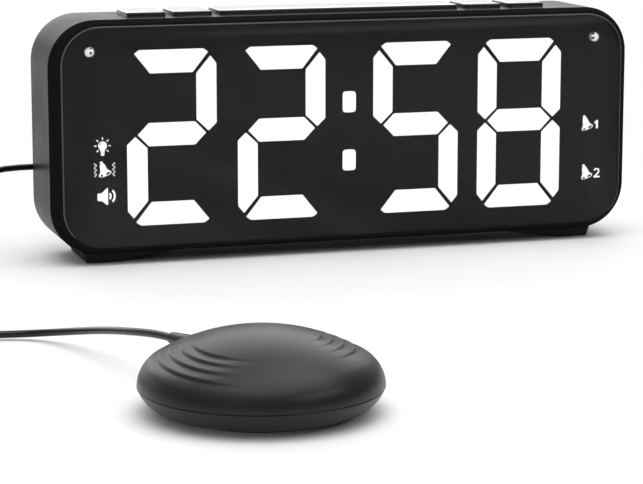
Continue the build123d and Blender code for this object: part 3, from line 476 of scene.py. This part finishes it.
def make_grain_group():
    """Fine moulded grain as a normal, and broad smears as a changing roughness."""
    group = bpy.data.node_groups.new("Moulding grain", "ShaderNodeTree")
    group_socket(group, "Grains per metre", "NodeSocketFloat", value=5000.0)
    group_socket(group, "Grain depth", "NodeSocketFloat", value=0.00001)
    group_socket(group, "Smoothest", "NodeSocketFloat", value=0.3)
    group_socket(group, "Roughest", "NodeSocketFloat", value=0.4)
    group_socket(group, "Roughness", "NodeSocketFloat", "OUTPUT")
    group_socket(group, "Normal", "NodeSocketVector", "OUTPUT")
    nodes, links = group.nodes, group.links
    given = nodes.new("NodeGroupInput")
    result = nodes.new("NodeGroupOutput")
    place = nodes.new("ShaderNodeTexCoord")
    grain = nodes.new("ShaderNodeTexNoise")
    grain.inputs["Detail"].default_value = 3.0
    bump = nodes.new("ShaderNodeBump")
    bump.inputs["Strength"].default_value = 0.6
    smears = nodes.new("ShaderNodeTexNoise")
    smears.inputs["Scale"].default_value = 55.0
    smears.inputs["Detail"].default_value = 4.0
    spread = nodes.new("ShaderNodeMapRange")
    spread.inputs["From Min"].default_value = 0.3
    spread.inputs["From Max"].default_value = 0.7
    links.new(place.outputs["Object"], grain.inputs["Vector"])
    links.new(given.outputs["Grains per metre"], grain.inputs["Scale"])
    links.new(grain.outputs["Fac"], bump.inputs["Height"])
    links.new(given.outputs["Grain depth"], bump.inputs["Distance"])
    links.new(place.outputs["Object"], smears.inputs["Vector"])
    links.new(smears.outputs["Fac"], spread.inputs["Value"])
    links.new(given.outputs["Smoothest"], spread.inputs["To Min"])
    links.new(given.outputs["Roughest"], spread.inputs["To Max"])
    links.new(spread.outputs["Result"], result.inputs["Roughness"])
    links.new(bump.outputs["Normal"], result.inputs["Normal"])
    return group


def make_tint_group():
    """Two close colours in soft patches."""
    group = bpy.data.node_groups.new("Tint patches", "ShaderNodeTree")
    group_socket(group, "Patches per metre", "NodeSocketFloat", value=120.0)
    group_socket(group, "First colour", "NodeSocketColor")
    group_socket(group, "Second colour", "NodeSocketColor")
    group_socket(group, "Colour", "NodeSocketColor", "OUTPUT")
    nodes, links = group.nodes, group.links
    given = nodes.new("NodeGroupInput")
    result = nodes.new("NodeGroupOutput")
    place = nodes.new("ShaderNodeTexCoord")
    patches = nodes.new("ShaderNodeTexNoise")
    patches.inputs["Detail"].default_value = 5.0
    mix = nodes.new("ShaderNodeMix")
    mix.data_type = "RGBA"
    links.new(place.outputs["Object"], patches.inputs["Vector"])
    links.new(given.outputs["Patches per metre"], patches.inputs["Scale"])
    links.new(patches.outputs["Fac"], mix.inputs["Factor"])
    links.new(given.outputs["First colour"], mix.inputs["A"])
    links.new(given.outputs["Second colour"], mix.inputs["B"])
    links.new(mix.outputs["Result"], result.inputs["Colour"])
    return group


grain_group = make_grain_group()
tint_group = make_tint_group()


# Finishes


def finish(name, colours, roughness, grain=(5000.0, 0.000008), patches=120.0, **constants):
    """A finish with patches of two colours, a changing roughness and a fine grain."""
    material = bpy.data.materials.new(name)
    material.use_nodes = True
    nodes, links = material.node_tree.nodes, material.node_tree.links
    shader = nodes["Principled BSDF"]
    tint = nodes.new("ShaderNodeGroup")
    tint.node_tree = tint_group
    tint.inputs["Patches per metre"].default_value = patches
    tint.inputs["First colour"].default_value = (*colours[0], 1.0)
    tint.inputs["Second colour"].default_value = (*colours[1], 1.0)
    surface = nodes.new("ShaderNodeGroup")
    surface.node_tree = grain_group
    surface.inputs["Grains per metre"].default_value = grain[0]
    surface.inputs["Grain depth"].default_value = grain[1]
    surface.inputs["Smoothest"].default_value = roughness[0]
    surface.inputs["Roughest"].default_value = roughness[1]
    links.new(tint.outputs["Colour"], shader.inputs["Base Color"])
    links.new(surface.outputs["Roughness"], shader.inputs["Roughness"])
    links.new(surface.outputs["Normal"], shader.inputs["Normal"])
    for constant, value in constants.items():
        shader.inputs[constant.replace("_", " ")].default_value = value
    return material


def greys(first, second):
    """Two greys for a finish."""
    return (first, first, first), (second, second, second)


white_light = (1.0, 1.0, 1.0, 1.0)
finish_values = {
    "case_black": dict(colours=greys(0.004, 0.006), roughness=(0.30, 0.38), IOR=1.13),
    # Lens rim: no reflection at all, painted shade that keeps the rim black
    "rim_painted_shade": dict(colours=greys(0.008, 0.011), roughness=(0.5, 0.6), Specular_IOR_Level=0.0),
    "lens_smoke": dict(
        colours=greys(0.025, 0.028),
        roughness=(0.14, 0.18),
        grain=(900.0, 0.0000005),
        Alpha=0.32,
        IOR=1.3,
    ),
    # Lens bevel: a lighter grey that is a painted highlight on its top and side edges
    "lens_bevel_painted_highlight": dict(
        colours=greys(0.08, 0.095),
        roughness=(0.35, 0.42),
        grain=(900.0, 0.000002),
        Specular_IOR_Level=0.1,
    ),
    "mask_black": dict(colours=greys(0.004, 0.006), roughness=(0.55, 0.65), Specular_IOR_Level=0.2),
    "bar_lit": dict(
        colours=greys(0.75, 0.8),
        roughness=(0.4, 0.5),
        Emission_Color=white_light,
        Emission_Strength=2.0,
    ),
    "sign_lit": dict(
        colours=greys(0.75, 0.8),
        roughness=(0.4, 0.5),
        Emission_Color=white_light,
        Emission_Strength=2.0,
    ),
    # Lamp cup: a faint glow with bright and grey speckle, a painted highlight for its glints
    "lamp_painted_glints": dict(
        colours=greys(0.3, 0.95),
        roughness=(0.2, 0.3),
        grain=(3000.0, 0.00005),
        patches=1100.0,
        Metallic=1.0,
        Emission_Color=white_light,
        Emission_Strength=0.32,
    ),
    "bar_dark": dict(colours=greys(0.004, 0.006), roughness=(0.55, 0.65), Specular_IOR_Level=0.2),
    "reflector_white": dict(colours=greys(0.72, 0.8), roughness=(0.4, 0.5)),
    "board_green": dict(colours=((0.01, 0.09, 0.03), (0.02, 0.14, 0.05)), roughness=(0.3, 0.4)),
    "chip_yellow": dict(colours=((0.75, 0.55, 0.08), (0.8, 0.62, 0.15)), roughness=(0.3, 0.4)),
    "lamp_clear": dict(
        colours=greys(0.93, 0.97),
        roughness=(0.02, 0.05),
        grain=(1500.0, 0.000002),
        Transmission_Weight=1.0,
        IOR=1.5,
    ),
    "key_black": dict(
        colours=greys(0.004, 0.006),
        roughness=(0.13, 0.18),
        Specular_IOR_Level=0.3,
        Coat_Weight=1.0,
        Coat_Roughness=0.1,
    ),
    "key_side": dict(colours=greys(0.008, 0.012), roughness=(0.2, 0.28), Specular_IOR_Level=0.4),
    "plunger_white": dict(colours=greys(0.62, 0.7), roughness=(0.4, 0.5)),
    "switch_black": dict(colours=greys(0.02, 0.03), roughness=(0.4, 0.5)),
    "screw_steel": dict(colours=greys(0.42, 0.5), roughness=(0.26, 0.36), Metallic=1.0),
    "socket_black": dict(colours=greys(0.012, 0.018), roughness=(0.35, 0.45)),
    "cell_steel": dict(colours=greys(0.55, 0.62), roughness=(0.22, 0.3), Metallic=1.0),
    "speaker_black": dict(colours=greys(0.012, 0.02), roughness=(0.6, 0.75)),
    "magnet_grey": dict(colours=greys(0.2, 0.26), roughness=(0.3, 0.4), Metallic=1.0),
    "foot_rubber": dict(
        colours=greys(0.012, 0.016),
        roughness=(0.6, 0.72),
        grain=(3500.0, 0.00002),
        Specular_IOR_Level=0.2,
    ),
    "shell_black": dict(
        colours=greys(0.010, 0.013),
        roughness=(0.31, 0.37),
        grain=(4200.0, 0.000005),
        Specular_IOR_Level=0.28,
    ),
    "pad_rubber": dict(colours=greys(0.014, 0.02), roughness=(0.65, 0.8), grain=(2500.0, 0.00003)),
    "motor_steel": dict(colours=greys(0.5, 0.58), roughness=(0.25, 0.35), Metallic=1.0),
    "shaft_steel": dict(colours=greys(0.5, 0.6), roughness=(0.2, 0.3), Metallic=1.0),
    "weight_brass": dict(
        colours=((0.55, 0.36, 0.12), (0.62, 0.42, 0.16)), roughness=(0.28, 0.38), Metallic=1.0
    ),
    "cord_black": dict(
        colours=greys(0.003, 0.005), roughness=(0.14, 0.2), grain=(2200.0, 0.000004), IOR=1.42
    ),
    "plug_metal": dict(colours=greys(0.6, 0.7), roughness=(0.16, 0.24), Metallic=1.0),
}
finishes = {name: finish(name, **values) for name, values in finish_values.items()}


def dress(piece, slot, look=None):
    """Give a piece one of the record's material slots, with the slot's own finish or another look."""
    piece.data.materials.clear()
    piece.data.materials.append(finishes[look or slot])
    return piece


def second_finish(piece, look, wanted):
    """Give the faces that are wanted another finish than the rest of the piece."""
    piece.data.materials.append(finishes[look])
    for face in piece.data.polygons:
        if wanted(face):
            face.material_index = 1


# Camera


def make_camera():
    """Long camera, level from side to side, between the photograph's two viewing angles."""
    camera_data = bpy.data.cameras.new("photo_camera")
    camera_data.sensor_fit = "HORIZONTAL"
    camera_data.sensor_width = camera_sensor
    camera_data.lens = camera_lens
    camera = bpy.data.objects.new("photo_camera", camera_data)
    camera.location = camera_place
    camera.rotation_euler = (camera_tilt, 0.0, camera_turn)
    bpy.context.scene.collection.objects.link(camera)
    bpy.context.scene.camera = camera


make_camera()


# Lead


def coil_route():
    """The coil's turns from its first layer to its last, spiralling in and out by turns."""
    points = []
    steps_before = 0
    for layer in range(coil_layers):
        height = coil_low + coil_step * layer
        inner_r = coil_outer_r - coil_step * coil_layer_steps / coil_turn_steps
        for step in range(coil_layer_steps + 1):
            along = coil_step * step / coil_turn_steps
            radius = coil_outer_r - along if layer % 2 == 0 else inner_r + along
            points.append((steps_before + step, radius, height))
        end_r = radius
        steps_before += coil_layer_steps
        if layer < coil_layers - 1:
            for step in range(1, coil_climb_steps):
                rise = coil_step * step / coil_climb_steps
                points.append((steps_before + step, end_r, height + rise))
            steps_before += coil_climb_steps
    route = []
    for steps, radius, height in points:
        turn = -quarter_turn - full_turn * steps / coil_turn_steps
        route.append(
            coil_middle + Vector((radius * math.cos(turn), radius * math.sin(turn), height))
        )
    return route


def make_lead():
    """One lead on one smooth spline, from the shaker through the coil to the plug."""
    curve = bpy.data.curves.new("shaker_lead", "CURVE")
    curve.dimensions = "3D"
    route = [*lead_to_coil, *coil_route(), *lead_to_plug]
    spline = curve.splines.new("NURBS")
    spline.points.add(len(route) - 1)
    for point, place in zip(spline.points, route):
        point.co = (*place, 1.0)
    spline.order_u = 3
    spline.use_endpoint_u = True
    spline.resolution_u = lead_smoothness
    lead = bpy.data.objects.new("shaker_lead", curve)
    bpy.context.scene.collection.objects.link(lead)
    bpy.context.view_layer.update()
    line = bpy.data.meshes.new_from_object(lead)
    path = [vertex.co.copy() for vertex in line.vertices]
    bpy.data.meshes.remove(line)
    curve.bevel_depth = lead_d / 2
    curve.bevel_resolution = lead_sides
    curve.use_fill_caps = True
    pick(lead)
    bpy.ops.object.convert(target="MESH")
    lead = bpy.context.object
    edit_all(lead)
    bpy.ops.mesh.remove_doubles(threshold=merge_gap)
    close_outwards()
    smooth(lead)
    dress(lead, "cord_black")
    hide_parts("cord_to_shaker", "cord_coil", "cord_to_clock")
    return lead, path


def make_tie():
    """Flat strap with rounded corners round one side of the coil."""
    low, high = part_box("coil_tie")
    size = high - low
    bpy.ops.object.select_all(action="DESELECT")
    bpy.ops.mesh.primitive_cube_add(size=1.0, location=(low + high) / 2, scale=size)
    tie = new_piece("lead_tie")
    choose_faces(tie, lambda face: abs(face.normal.y) > facing_least)
    bpy.ops.mesh.delete(type="FACE")
    close_edit()
    choose_edges(tie, lambda first, second: abs(first.y - second.y) > size.y / 2)
    corner = size.z * tie_corner_share
    bpy.ops.mesh.bevel(offset=corner, segments=tie_corner_segments, affect="EDGES")
    close_edit()
    apply_modifier(tie, "SOLIDIFY", thickness=tie_t, offset=-1.0)
    round_edges(tie, tie_edge)
    dress(tie, "cord_black")
    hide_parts("coil_tie")
    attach(tie, "clock")
    return tie


def make_plug_ribs():
    """Ribbed sleeve over the arm of the plug, thicker towards the plug."""
    outline = []
    for rib in range(plug_rib_count):
        along = plug_rib_step * rib
        radius = plug_rib_first_r + plug_rib_growth * rib
        outline += [
            (lead_d / 2, along),
            (radius - plug_rib_edge, along),
            (radius, along + plug_rib_edge),
            (radius, along + plug_rib_w - plug_rib_edge),
            (radius - plug_rib_edge, along + plug_rib_w),
            (lead_d / 2, along + plug_rib_w),
        ]
    outline.append(outline[0])
    ribs = turned("plug_ribs", outline, lead_to_plug[-1], (1, 0, 0), (0, 1, 0), plug_rib_steps)
    smooth(ribs, gentle_turn)
    dress(ribs, "cord_black")
    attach(ribs, "clock")
    return ribs


lead, lead_path = make_lead()
tie = make_tie()
plug = dress(moulded_copy("plug_body", "plug_boot"), "cord_black")
smooth(plug)
ribs = make_plug_ribs()
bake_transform(lead)


# Clock


def make_case():
    """Sleeve whose round corners run smoothly into its flat sides, with a rim round the lens kept black as
    painted shade.
    """
    case = moulded_copy("main_case", "case_sleeve")
    keep_flat(case)
    dress(case, "case_black")
    sleeve_front = clock.y - case_d / 2
    # Painted shade: faces in front of the sleeve, the rim round the lens, get a finish that reflects
    # nothing
    second_finish(case, "rim_painted_shade", lambda face: face.center.y < sleeve_front)


def make_rear_panel():
    """Back plate whose flat face stays flat round its speaker holes."""
    panel = moulded_copy("rear_cover", "rear_panel")
    keep_flat(panel)
    dress(panel, "case_black")


def on_highlit_lens_bevel(face):
    """Whether a lens face takes the painted highlight: on its bevel, apart from the lower edge in shade."""
    return highlight_bevel_y[0] < face.normal.y < highlight_bevel_y[1] and face.normal.z > highlight_bevel_z


def make_lens():
    """Lens with a hair of air between its back and the printed mask."""
    lens = moulded_copy("front_lens", "smoked_lens")
    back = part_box("front_lens")[1].y
    for vertex in lens.data.vertices:
        if vertex.co.y > back - merge_gap:
            vertex.co.y -= lens_air
    smooth(lens)
    dress(lens, "lens_smoke")
    # Painted highlight: the top and side bevels are lighter, and the lower bevel keeps the dark lens finish
    second_finish(lens, "lens_bevel_painted_highlight", on_highlit_lens_bevel)


def make_border():
    """Black print round the back of the lens, which hides the ledge behind it."""
    low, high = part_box("front_lens")
    middle = Vector(((low.x + high.x) / 2, high.y - sign_lift, (low.z + high.z) / 2))
    size = Vector((high.x - low.x - 2 * border_in, high.z - low.z - 2 * border_in, 1.0))
    corner = lens_corner_r - border_in
    bpy.ops.object.select_all(action="DESELECT")
    bpy.ops.mesh.primitive_plane_add(size=1.0, location=middle, rotation=(quarter_turn, 0, 0))
    bpy.context.object.scale = size
    border = new_piece("lens_border")
    edit_all(border)
    bpy.ops.mesh.bevel(offset=corner, segments=border_corner_segments, affect="VERTICES")
    bpy.ops.mesh.select_all(action="SELECT")
    bpy.ops.mesh.inset(thickness=border_w)
    bpy.ops.mesh.delete(type="FACE")
    bpy.ops.mesh.select_all(action="SELECT")
    bpy.ops.mesh.extrude_region_move(TRANSFORM_OT_translate={"value": (0, -sign_t, 0)})
    close_outwards()
    dress(border, "mask_black")
    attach(border, "clock")


# Signs


def flat_shape(name, points, lift=sign_lift):
    """Thin flat shape on the mask, through (x, z) points in millimetres from the clock's middle."""
    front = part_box("front_lens")[1].y - lift
    piece = drawn(name, [Vector((clock.x + x * MM, front, z * MM)) for x, z in points])
    bpy.ops.mesh.edge_face_add()
    bpy.ops.mesh.extrude_region_move(TRANSFORM_OT_translate={"value": (0, -sign_t, 0)})
    close_outwards()
    return piece


def copied(piece, move=(0, 0, 0), turn=0.0, centre=(0, 0, 0)):
    """A copy with its own mesh, moved and turned about the way that the clock faces."""
    pick(piece)
    bpy.ops.object.duplicate()
    twin = bpy.context.object
    edit_all(twin)
    bpy.ops.transform.translate(value=move)
    if turn:
        bpy.ops.transform.rotate(value=turn, orient_axis="Y", center_override=centre)
    close_edit()
    return twin


def joined(name, pieces, slot, look=None):
    """Join pieces of the clock into one, with one finish."""
    pick(*pieces)
    bpy.ops.object.join()
    piece = named(bpy.context.object, name)
    dress(piece, slot, look)
    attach(piece, "clock")


def stroke(line, width):
    """Outline of a bent line of this width."""
    left, right = [], []
    for i, (x, z) in enumerate(line):
        before, after = line[max(i - 1, 0)], line[min(i + 1, len(line) - 1)]
        dx, dz = after[0] - before[0], after[1] - before[1]
        reach = math.hypot(dx, dz)
        left.append((x - dz / reach * width / 2, z + dx / reach * width / 2))
        right.append((x + dz / reach * width / 2, z - dx / reach * width / 2))
    return [*left, *reversed(right)]


def wave(radius):
    """Outline of an arc of sound."""
    outer = arc(wave_middle, radius + wave_t / 2, -wave_turn, wave_turn, wave_steps)
    inner = arc(wave_middle, radius - wave_t / 2, wave_turn, -wave_turn, wave_steps)
    return [*outer, *inner]


def by_bulb(points):
    """Places of points that are measured from the bulb's middle."""
    return [(bulb_middle[0] + x, bulb_middle[1] + z) for x, z in points]


def make_bulb():
    """Bulb with a screwed foot, and a ring of rays copied from one."""
    other_foot = [(-x, z) for x, z in reversed(bulb_foot)]
    outline = [*arc(bulb_middle, bulb_r, *bulb_turns, bulb_steps), *by_bulb([*bulb_foot, *other_foot])]
    ray = flat_shape("ray_sign", by_bulb(bulb_ray))
    signs = [flat_shape("bulb_sign", outline), ray]
    centre = (clock.x + bulb_middle[0] * MM, 0, bulb_middle[1] * MM)
    for eighth in bulb_ray_eighths:
        signs.append(copied(ray, turn=full_turn * eighth / 8, centre=centre))
    shine = [
        *arc(bulb_middle, shine_radii[0], *shine_turns, shine_steps),
        *arc(bulb_middle, shine_radii[1], *reversed(shine_turns), shine_steps),
    ]
    shades = [
        flat_shape("bulb_shine", shine, shade_lift),
        flat_shape("bulb_thread", by_bulb(bulb_thread), shade_lift),
    ]
    return signs, shades


def bell_points(outline, place):
    """Points of a bell's outline, tilted about the middle of its mouth."""
    side, up = math.cos(bell_tilt) * bell_size, math.sin(bell_tilt) * bell_size
    return [(place[0] + x * side - z * up, place[1] + x * up + z * side) for x, z in outline]


def make_bells():
    """One bell with its mouth in shade, then copies of it."""
    first = bell_places[0]
    other_side = [(-x, z) for x, z in reversed(bell_side)]
    outline = [bell_top, *bell_side, bell_bottom, *other_side]
    bell = flat_shape("bell_sign", bell_points(outline, first))
    mouth = [
        flat_shape("bell_mouth", bell_points(shape, first), shade_lift)
        for shape in (bell_mouth_right, bell_mouth_left)
    ]
    signs, shades = [bell], list(mouth)
    for x, z in bell_places[1:]:
        move = ((x - first[0]) * MM, 0, (z - first[1]) * MM)
        signs.append(copied(bell, move))
        shades += [copied(shape, move) for shape in mouth]
    return signs, shades


def make_signs():
    """All lit signs as one piece, and the shades on them as another."""
    signs, shades = make_bulb()
    bells, mouths = make_bells()
    signs += bells
    shades += mouths
    signs.append(flat_shape("speaker_sign", speaker_outline))
    signs += [flat_shape("wave_sign", wave(radius)) for radius in wave_radii]
    signs.append(flat_shape("shake_sign", stroke(shake_line, shake_t)))
    other_line = [(2 * shake_middle - x, z) for x, z in shake_line]
    signs.append(flat_shape("shake_sign_right", stroke(other_line, shake_t)))
    signs.append(flat_shape("one_sign", one_outline))
    signs += [flat_shape("two_sign", stroke(two_hook, two_t)), flat_shape("two_foot", two_foot)]
    joined("lit_signs", signs, "bar_lit", "sign_lit")
    joined("sign_shades", shades, "mask_black")


# Lamps, screws, keys and small parts


def make_lamp_cup(side):
    """Cup in a lamp, its faint glow and bright speckle painted glints, with two dark marks on its wall."""
    low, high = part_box(f"flash_lamp_{side}")
    middle = Vector(((low.x + high.x) / 2, low.y + lamp_cup_back, (low.z + high.z) / 2))

    def marked(face):
        away = face.center - middle
        return math.hypot(away.x - cup_mark_x, abs(away.z) - cup_mark_z) < cup_mark_r

    cup = turned(f"lamp_cup_{side}", cup_outline, middle, (0, -1, 0), (1, 0, 0), cup_steps)
    smooth(cup)
    # Painted highlight: the cup glows faintly and is speckled bright and grey as glints
    dress(cup, "lamp_clear", "lamp_painted_glints")
    second_finish(cup, "mask_black", marked)
    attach(cup, "clock")


def make_rear_screws():
    """Screws with a cross recess in each head."""
    screws = moulded_copy("cover_screws", "rear_screws")
    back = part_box("cover_screws")[1].y
    for width, height in ((recess_w, recess_h), (recess_h, recess_w)):
        cutters = []
        for x in (-screw_x, screw_x):
            for z in screw_z:
                bpy.ops.object.select_all(action="DESELECT")
                bpy.ops.mesh.primitive_cube_add(
                    size=1.0, location=(clock.x + x, back, z), scale=(width, recess_depth, height)
                )
                cutters.append(new_piece("recess_cutter"))
        pick(*cutters)
        bpy.ops.object.join()
        cutter = bpy.context.object
        apply_modifier(screws, "BOOLEAN", operation="DIFFERENCE", solver="EXACT", object=cutter)
        pick(cutter)
        bpy.ops.object.delete()
    smooth(screws)
    dress(screws, "screw_steel")


def make_rounded(node, name, slot, edge=None):
    """Copy of a node with rounded edges, or shaded smooth where its edges are round enough."""
    piece = moulded_copy(node, name)
    if edge:
        round_edges(piece, edge)
    else:
        smooth(piece)
    return dress(piece, slot)


def make_key(key):
    """Key cap with a polished top and dull sides."""
    cap = make_rounded(key, f"{key}_cap", "key_black")
    second_finish(cap, "key_side", lambda face: face.normal.z < key_top_normal)


make_case()
make_lens()
make_border()
make_signs()
for side in ("left", "right"):
    make_lamp_cup(side)
make_rear_screws()
for key in keys:
    make_key(key)
for side in ("left", "right"):
    make_rounded(f"foot_{side}", f"foot_{side}_pad", "foot_rubber", foot_edge)
    make_rounded(f"flash_lamp_{side}", f"flash_lamp_{side}_dome", "lamp_clear")
make_rear_panel()
make_rounded("cell_hatch", "hatch_lid", "case_black", hatch_edge)
make_rounded("shaker_jack", "shaker_jack_body", "socket_black")
make_rounded("power_inlet", "power_inlet_body", "socket_black")


# Shaker


def dome_outline():
    """Dome from its crown to the seam, then back along its inner wall."""
    crown_end = quarter_turn - math.atan2(shoulder_x, seam_z - crown_z)
    crown_centre, shoulder_centre = (0.0, crown_z), (shoulder_x, seam_z)
    crown = arc(crown_centre, crown_r, quarter_turn, crown_end, crown_steps)
    shoulder = arc(shoulder_centre, shoulder_r, crown_end, 0.0, shoulder_steps)
    inner_shoulder = arc(shoulder_centre, shoulder_r - shell_wall, 0.0, crown_end, inner_steps)
    inner_crown = arc(crown_centre, crown_r - shell_wall, crown_end, quarter_turn, inner_steps)
    return [*crown, *shoulder[1:], *inner_shoulder, *inner_crown[1:]]


def eased(share):
    """Soft start and end for a share from 0 to 1."""
    return share * share * (3 - 2 * share)


def ripple_drop(x, y):
    """How far the dome's surface is pressed in at this place from its middle."""
    drop = 0.0
    turn = math.atan2(y, x)
    for middle, lean, first_r in ripple_groups:
        away = abs((turn - middle + math.pi) % full_turn - math.pi)
        fade = eased(min(max((ripple_half_turn - away) / ripple_fade, 0.0), 1.0))
        reach = math.hypot(x - ripple_off * math.cos(lean), y - ripple_off * math.sin(lean))
        for ring in range(ripple_count):
            inside = reach - (first_r + ripple_step * ring)
            if 0.0 < inside < ripple_step:
                rise = eased(min(inside / ripple_edge, 1.0))
                rest = 1.0 - max(inside - ripple_edge, 0.0) / (ripple_step - ripple_edge)
                drop = max(drop, ripple_depth * fade * rise * rest)
    return drop


def make_dome():
    """Dome of the shaker, its outer surface pressed in by the ripples."""
    dome = turned("shaker_dome", dome_outline(), shaker, (0, 0, 1), (1, 0, 0), spin_steps)
    for vertex in dome.data.vertices:
        x, y = vertex.co.x - shaker.x, vertex.co.y - shaker.y
        reach = math.hypot(x, y)
        outside = math.hypot(reach, vertex.co.z - crown_z) > crown_r - shell_wall / 2
        if outside or vertex.co.z > dome_h - shell_wall / 2 or reach > shoulder_x:
            vertex.co.z -= ripple_drop(x, y)
    smooth(dome, gentle_turn)
    dress(dome, "shell_black")
    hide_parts("shaker_top_shell")
    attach(dome, "shaker")


def bulged(start, end, bulge, count):
    """Points of a shallow arc between two points of an outline, bulging to the right of its way."""
    across = Vector((end[0] - start[0], end[1] - start[1]))
    right = Vector((across.y, -across.x)).normalized()
    points = []
    for i in range(count + 1):
        share = i / count
        place = Vector(start) + across * share + right * bulge * 4 * share * (1 - share)
        points.append((place.x, place.y))
    return points


def make_bowl():
    """Bowl with a bevelled upper edge, a flat base and a tongue inside the seam."""
    floor_z = base_z + shell_wall
    side_top = (seam_r - seam_bevel / 2, seam_z - seam_bevel)
    side = bulged((base_r, base_z), side_top, bowl_bulge, bowl_steps)
    tongue = [
        (seam_r - seam_bevel, seam_z),
        (tongue_r, seam_z),
        (tongue_r, seam_z + tongue_h),
        (tongue_r - tongue_t, seam_z + tongue_h),
        (tongue_r - tongue_t, seam_z),
        (base_r - shell_wall / 2, floor_z),
        (0.0, floor_z),
    ]
    outline = [(0.0, base_z), *side, *tongue]
    bowl = turned("shaker_bowl", outline, shaker, (0, 0, 1), (1, 0, 0), spin_steps)
    smooth(bowl)
    dress(bowl, "shell_black")
    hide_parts("shaker_bottom_shell")
    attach(bowl, "shaker")


make_dome()
make_bowl()
make_rounded("shaker_pad", "shaker_base_pad", "pad_rubber")
make_rounded("shaker_gland", "shaker_cord_gland", "cord_black")


# Nodes that stay as they are take their finish from the record's slots
node_slots = {
    "display_mask": "mask_black",
    "lit_segments": "bar_lit",
    "dark_segments": "bar_dark",
    "colon_dots": "bar_lit",
    "reflector_block": "reflector_white",
    "display_board": "board_green",
    "segment_leds": "chip_yellow",
    "key_board": "board_green",
    "key_switches": "switch_black",
    "main_board": "board_green",
    "cell_holder": "socket_black",
    "backup_cell": "cell_steel",
    "speaker": "speaker_black",
    "speaker_magnet": "magnet_grey",
    "shaker_screws": "screw_steel",
    "motor_can": "motor_steel",
    "motor_clamp": "motor_steel",
    "motor_shaft": "shaft_steel",
    "eccentric_weight": "weight_brass",
    "plug_pin": "plug_metal",
}
for node, slot in node_slots.items():
    dress(frame["nodes"][node], slot)
for key in keys:
    dress(frame["nodes"][f"{key}_plunger"], "plunger_white")


# Studio


def math_node(nodes, operation):
    """Node for one sum or comparison."""
    node = nodes.new("ShaderNodeMath")
    node.operation = operation
    return node


def fade_node(nodes, span, values):
    """Smooth change from the first value to the second over a span."""
    node = nodes.new("ShaderNodeMapRange")
    node.interpolation_type = "SMOOTHSTEP"
    node.inputs["From Min"].default_value, node.inputs["From Max"].default_value = span
    node.inputs["To Min"].default_value, node.inputs["To Max"].default_value = values
    return node


def seen_node(nodes, links, rays):
    """1 for what the camera sees by itself or through glass."""
    seen = math_node(nodes, "MAXIMUM")
    links.new(rays.outputs["Is Camera Ray"], seen.inputs[0])
    links.new(rays.outputs["Is Transmission Ray"], seen.inputs[1])
    return seen


def make_floor():
    """White floor that takes shadows near the object and is plain white away from it."""
    bpy.ops.object.select_all(action="DESELECT")
    bpy.ops.mesh.primitive_plane_add(size=floor_size)
    floor = new_piece("studio_floor")
    material = bpy.data.materials.new("studio_white")
    material.use_nodes = True
    nodes, links = material.node_tree.nodes, material.node_tree.links
    nodes.clear()
    paint = nodes.new("ShaderNodeBsdfDiffuse")
    paint.inputs["Color"].default_value = (floor_grey, floor_grey, floor_grey, 1.0)
    white = nodes.new("ShaderNodeEmission")
    place = nodes.new("ShaderNodeTexCoord")
    reach = nodes.new("ShaderNodeVectorMath")
    reach.operation = "LENGTH"
    away = fade_node(nodes, white_span, (0.0, 1.0))
    rays = nodes.new("ShaderNodeLightPath")
    direct = seen_node(nodes, links, rays)
    seen = math_node(nodes, "MAXIMUM")
    share = math_node(nodes, "MULTIPLY")
    mix = nodes.new("ShaderNodeMixShader")
    output = nodes.new("ShaderNodeOutputMaterial")
    links.new(place.outputs["Object"], reach.inputs[0])
    links.new(reach.outputs["Value"], away.inputs["Value"])
    links.new(direct.outputs[0], seen.inputs[0])
    links.new(rays.outputs["Is Glossy Ray"], seen.inputs[1])
    links.new(away.outputs["Result"], share.inputs[0])
    links.new(seen.outputs[0], share.inputs[1])
    links.new(share.outputs[0], mix.inputs["Fac"])
    links.new(paint.outputs[0], mix.inputs[1])
    links.new(white.outputs[0], mix.inputs[2])
    links.new(mix.outputs[0], output.inputs["Surface"])
    floor.data.materials.append(material)


def make_world():
    """White studio that darkens towards the viewer and both ends, and is plain white where it is seen."""
    world = bpy.data.worlds.new("studio_air")
    world.use_nodes = True
    nodes, links = world.node_tree.nodes, world.node_tree.links
    background = nodes["Background"]
    background.inputs["Color"].default_value = white_light
    way = nodes.new("ShaderNodeTexCoord")
    behind = nodes.new("ShaderNodeVectorMath")
    behind.operation = "DOT_PRODUCT"
    behind.inputs[1].default_value = air_way
    air = fade_node(nodes, air_span, air_light)
    sides = nodes.new("ShaderNodeSeparateXYZ")
    aside = math_node(nodes, "ABSOLUTE")
    ends = fade_node(nodes, ends_span, ends_light)
    both = math_node(nodes, "MULTIPLY")
    direct = seen_node(nodes, links, nodes.new("ShaderNodeLightPath"))
    seen = math_node(nodes, "MAXIMUM")
    links.new(way.outputs["Generated"], behind.inputs[0])
    links.new(behind.outputs["Value"], air.inputs["Value"])
    links.new(way.outputs["Generated"], sides.inputs["Vector"])
    links.new(sides.outputs["X"], aside.inputs[0])
    links.new(aside.outputs[0], ends.inputs["Value"])
    links.new(air.outputs["Result"], both.inputs[0])
    links.new(ends.outputs["Result"], both.inputs[1])
    links.new(direct.outputs[0], seen.inputs[0])
    links.new(both.outputs[0], seen.inputs[1])
    links.new(seen.outputs[0], background.inputs["Strength"])
    bpy.context.scene.world = world


def make_softbox(name, place, aim, size, power):
    """Rectangular lamp at a place, aimed at another."""
    lamp = bpy.data.lights.new(name, "AREA")
    lamp.shape = "RECTANGLE"
    lamp.size, lamp.size_y = size
    lamp.energy = power
    softbox = bpy.data.objects.new(name, lamp)
    softbox.location = place
    softbox.rotation_euler = (Vector(aim) - Vector(place)).to_track_quat("-Z", "Y").to_euler()
    bpy.context.scene.collection.objects.link(softbox)


make_floor()
make_world()
for softbox_values in softboxes:
    make_softbox(*softbox_values)
bpy.context.scene.view_settings.view_transform = "Standard"
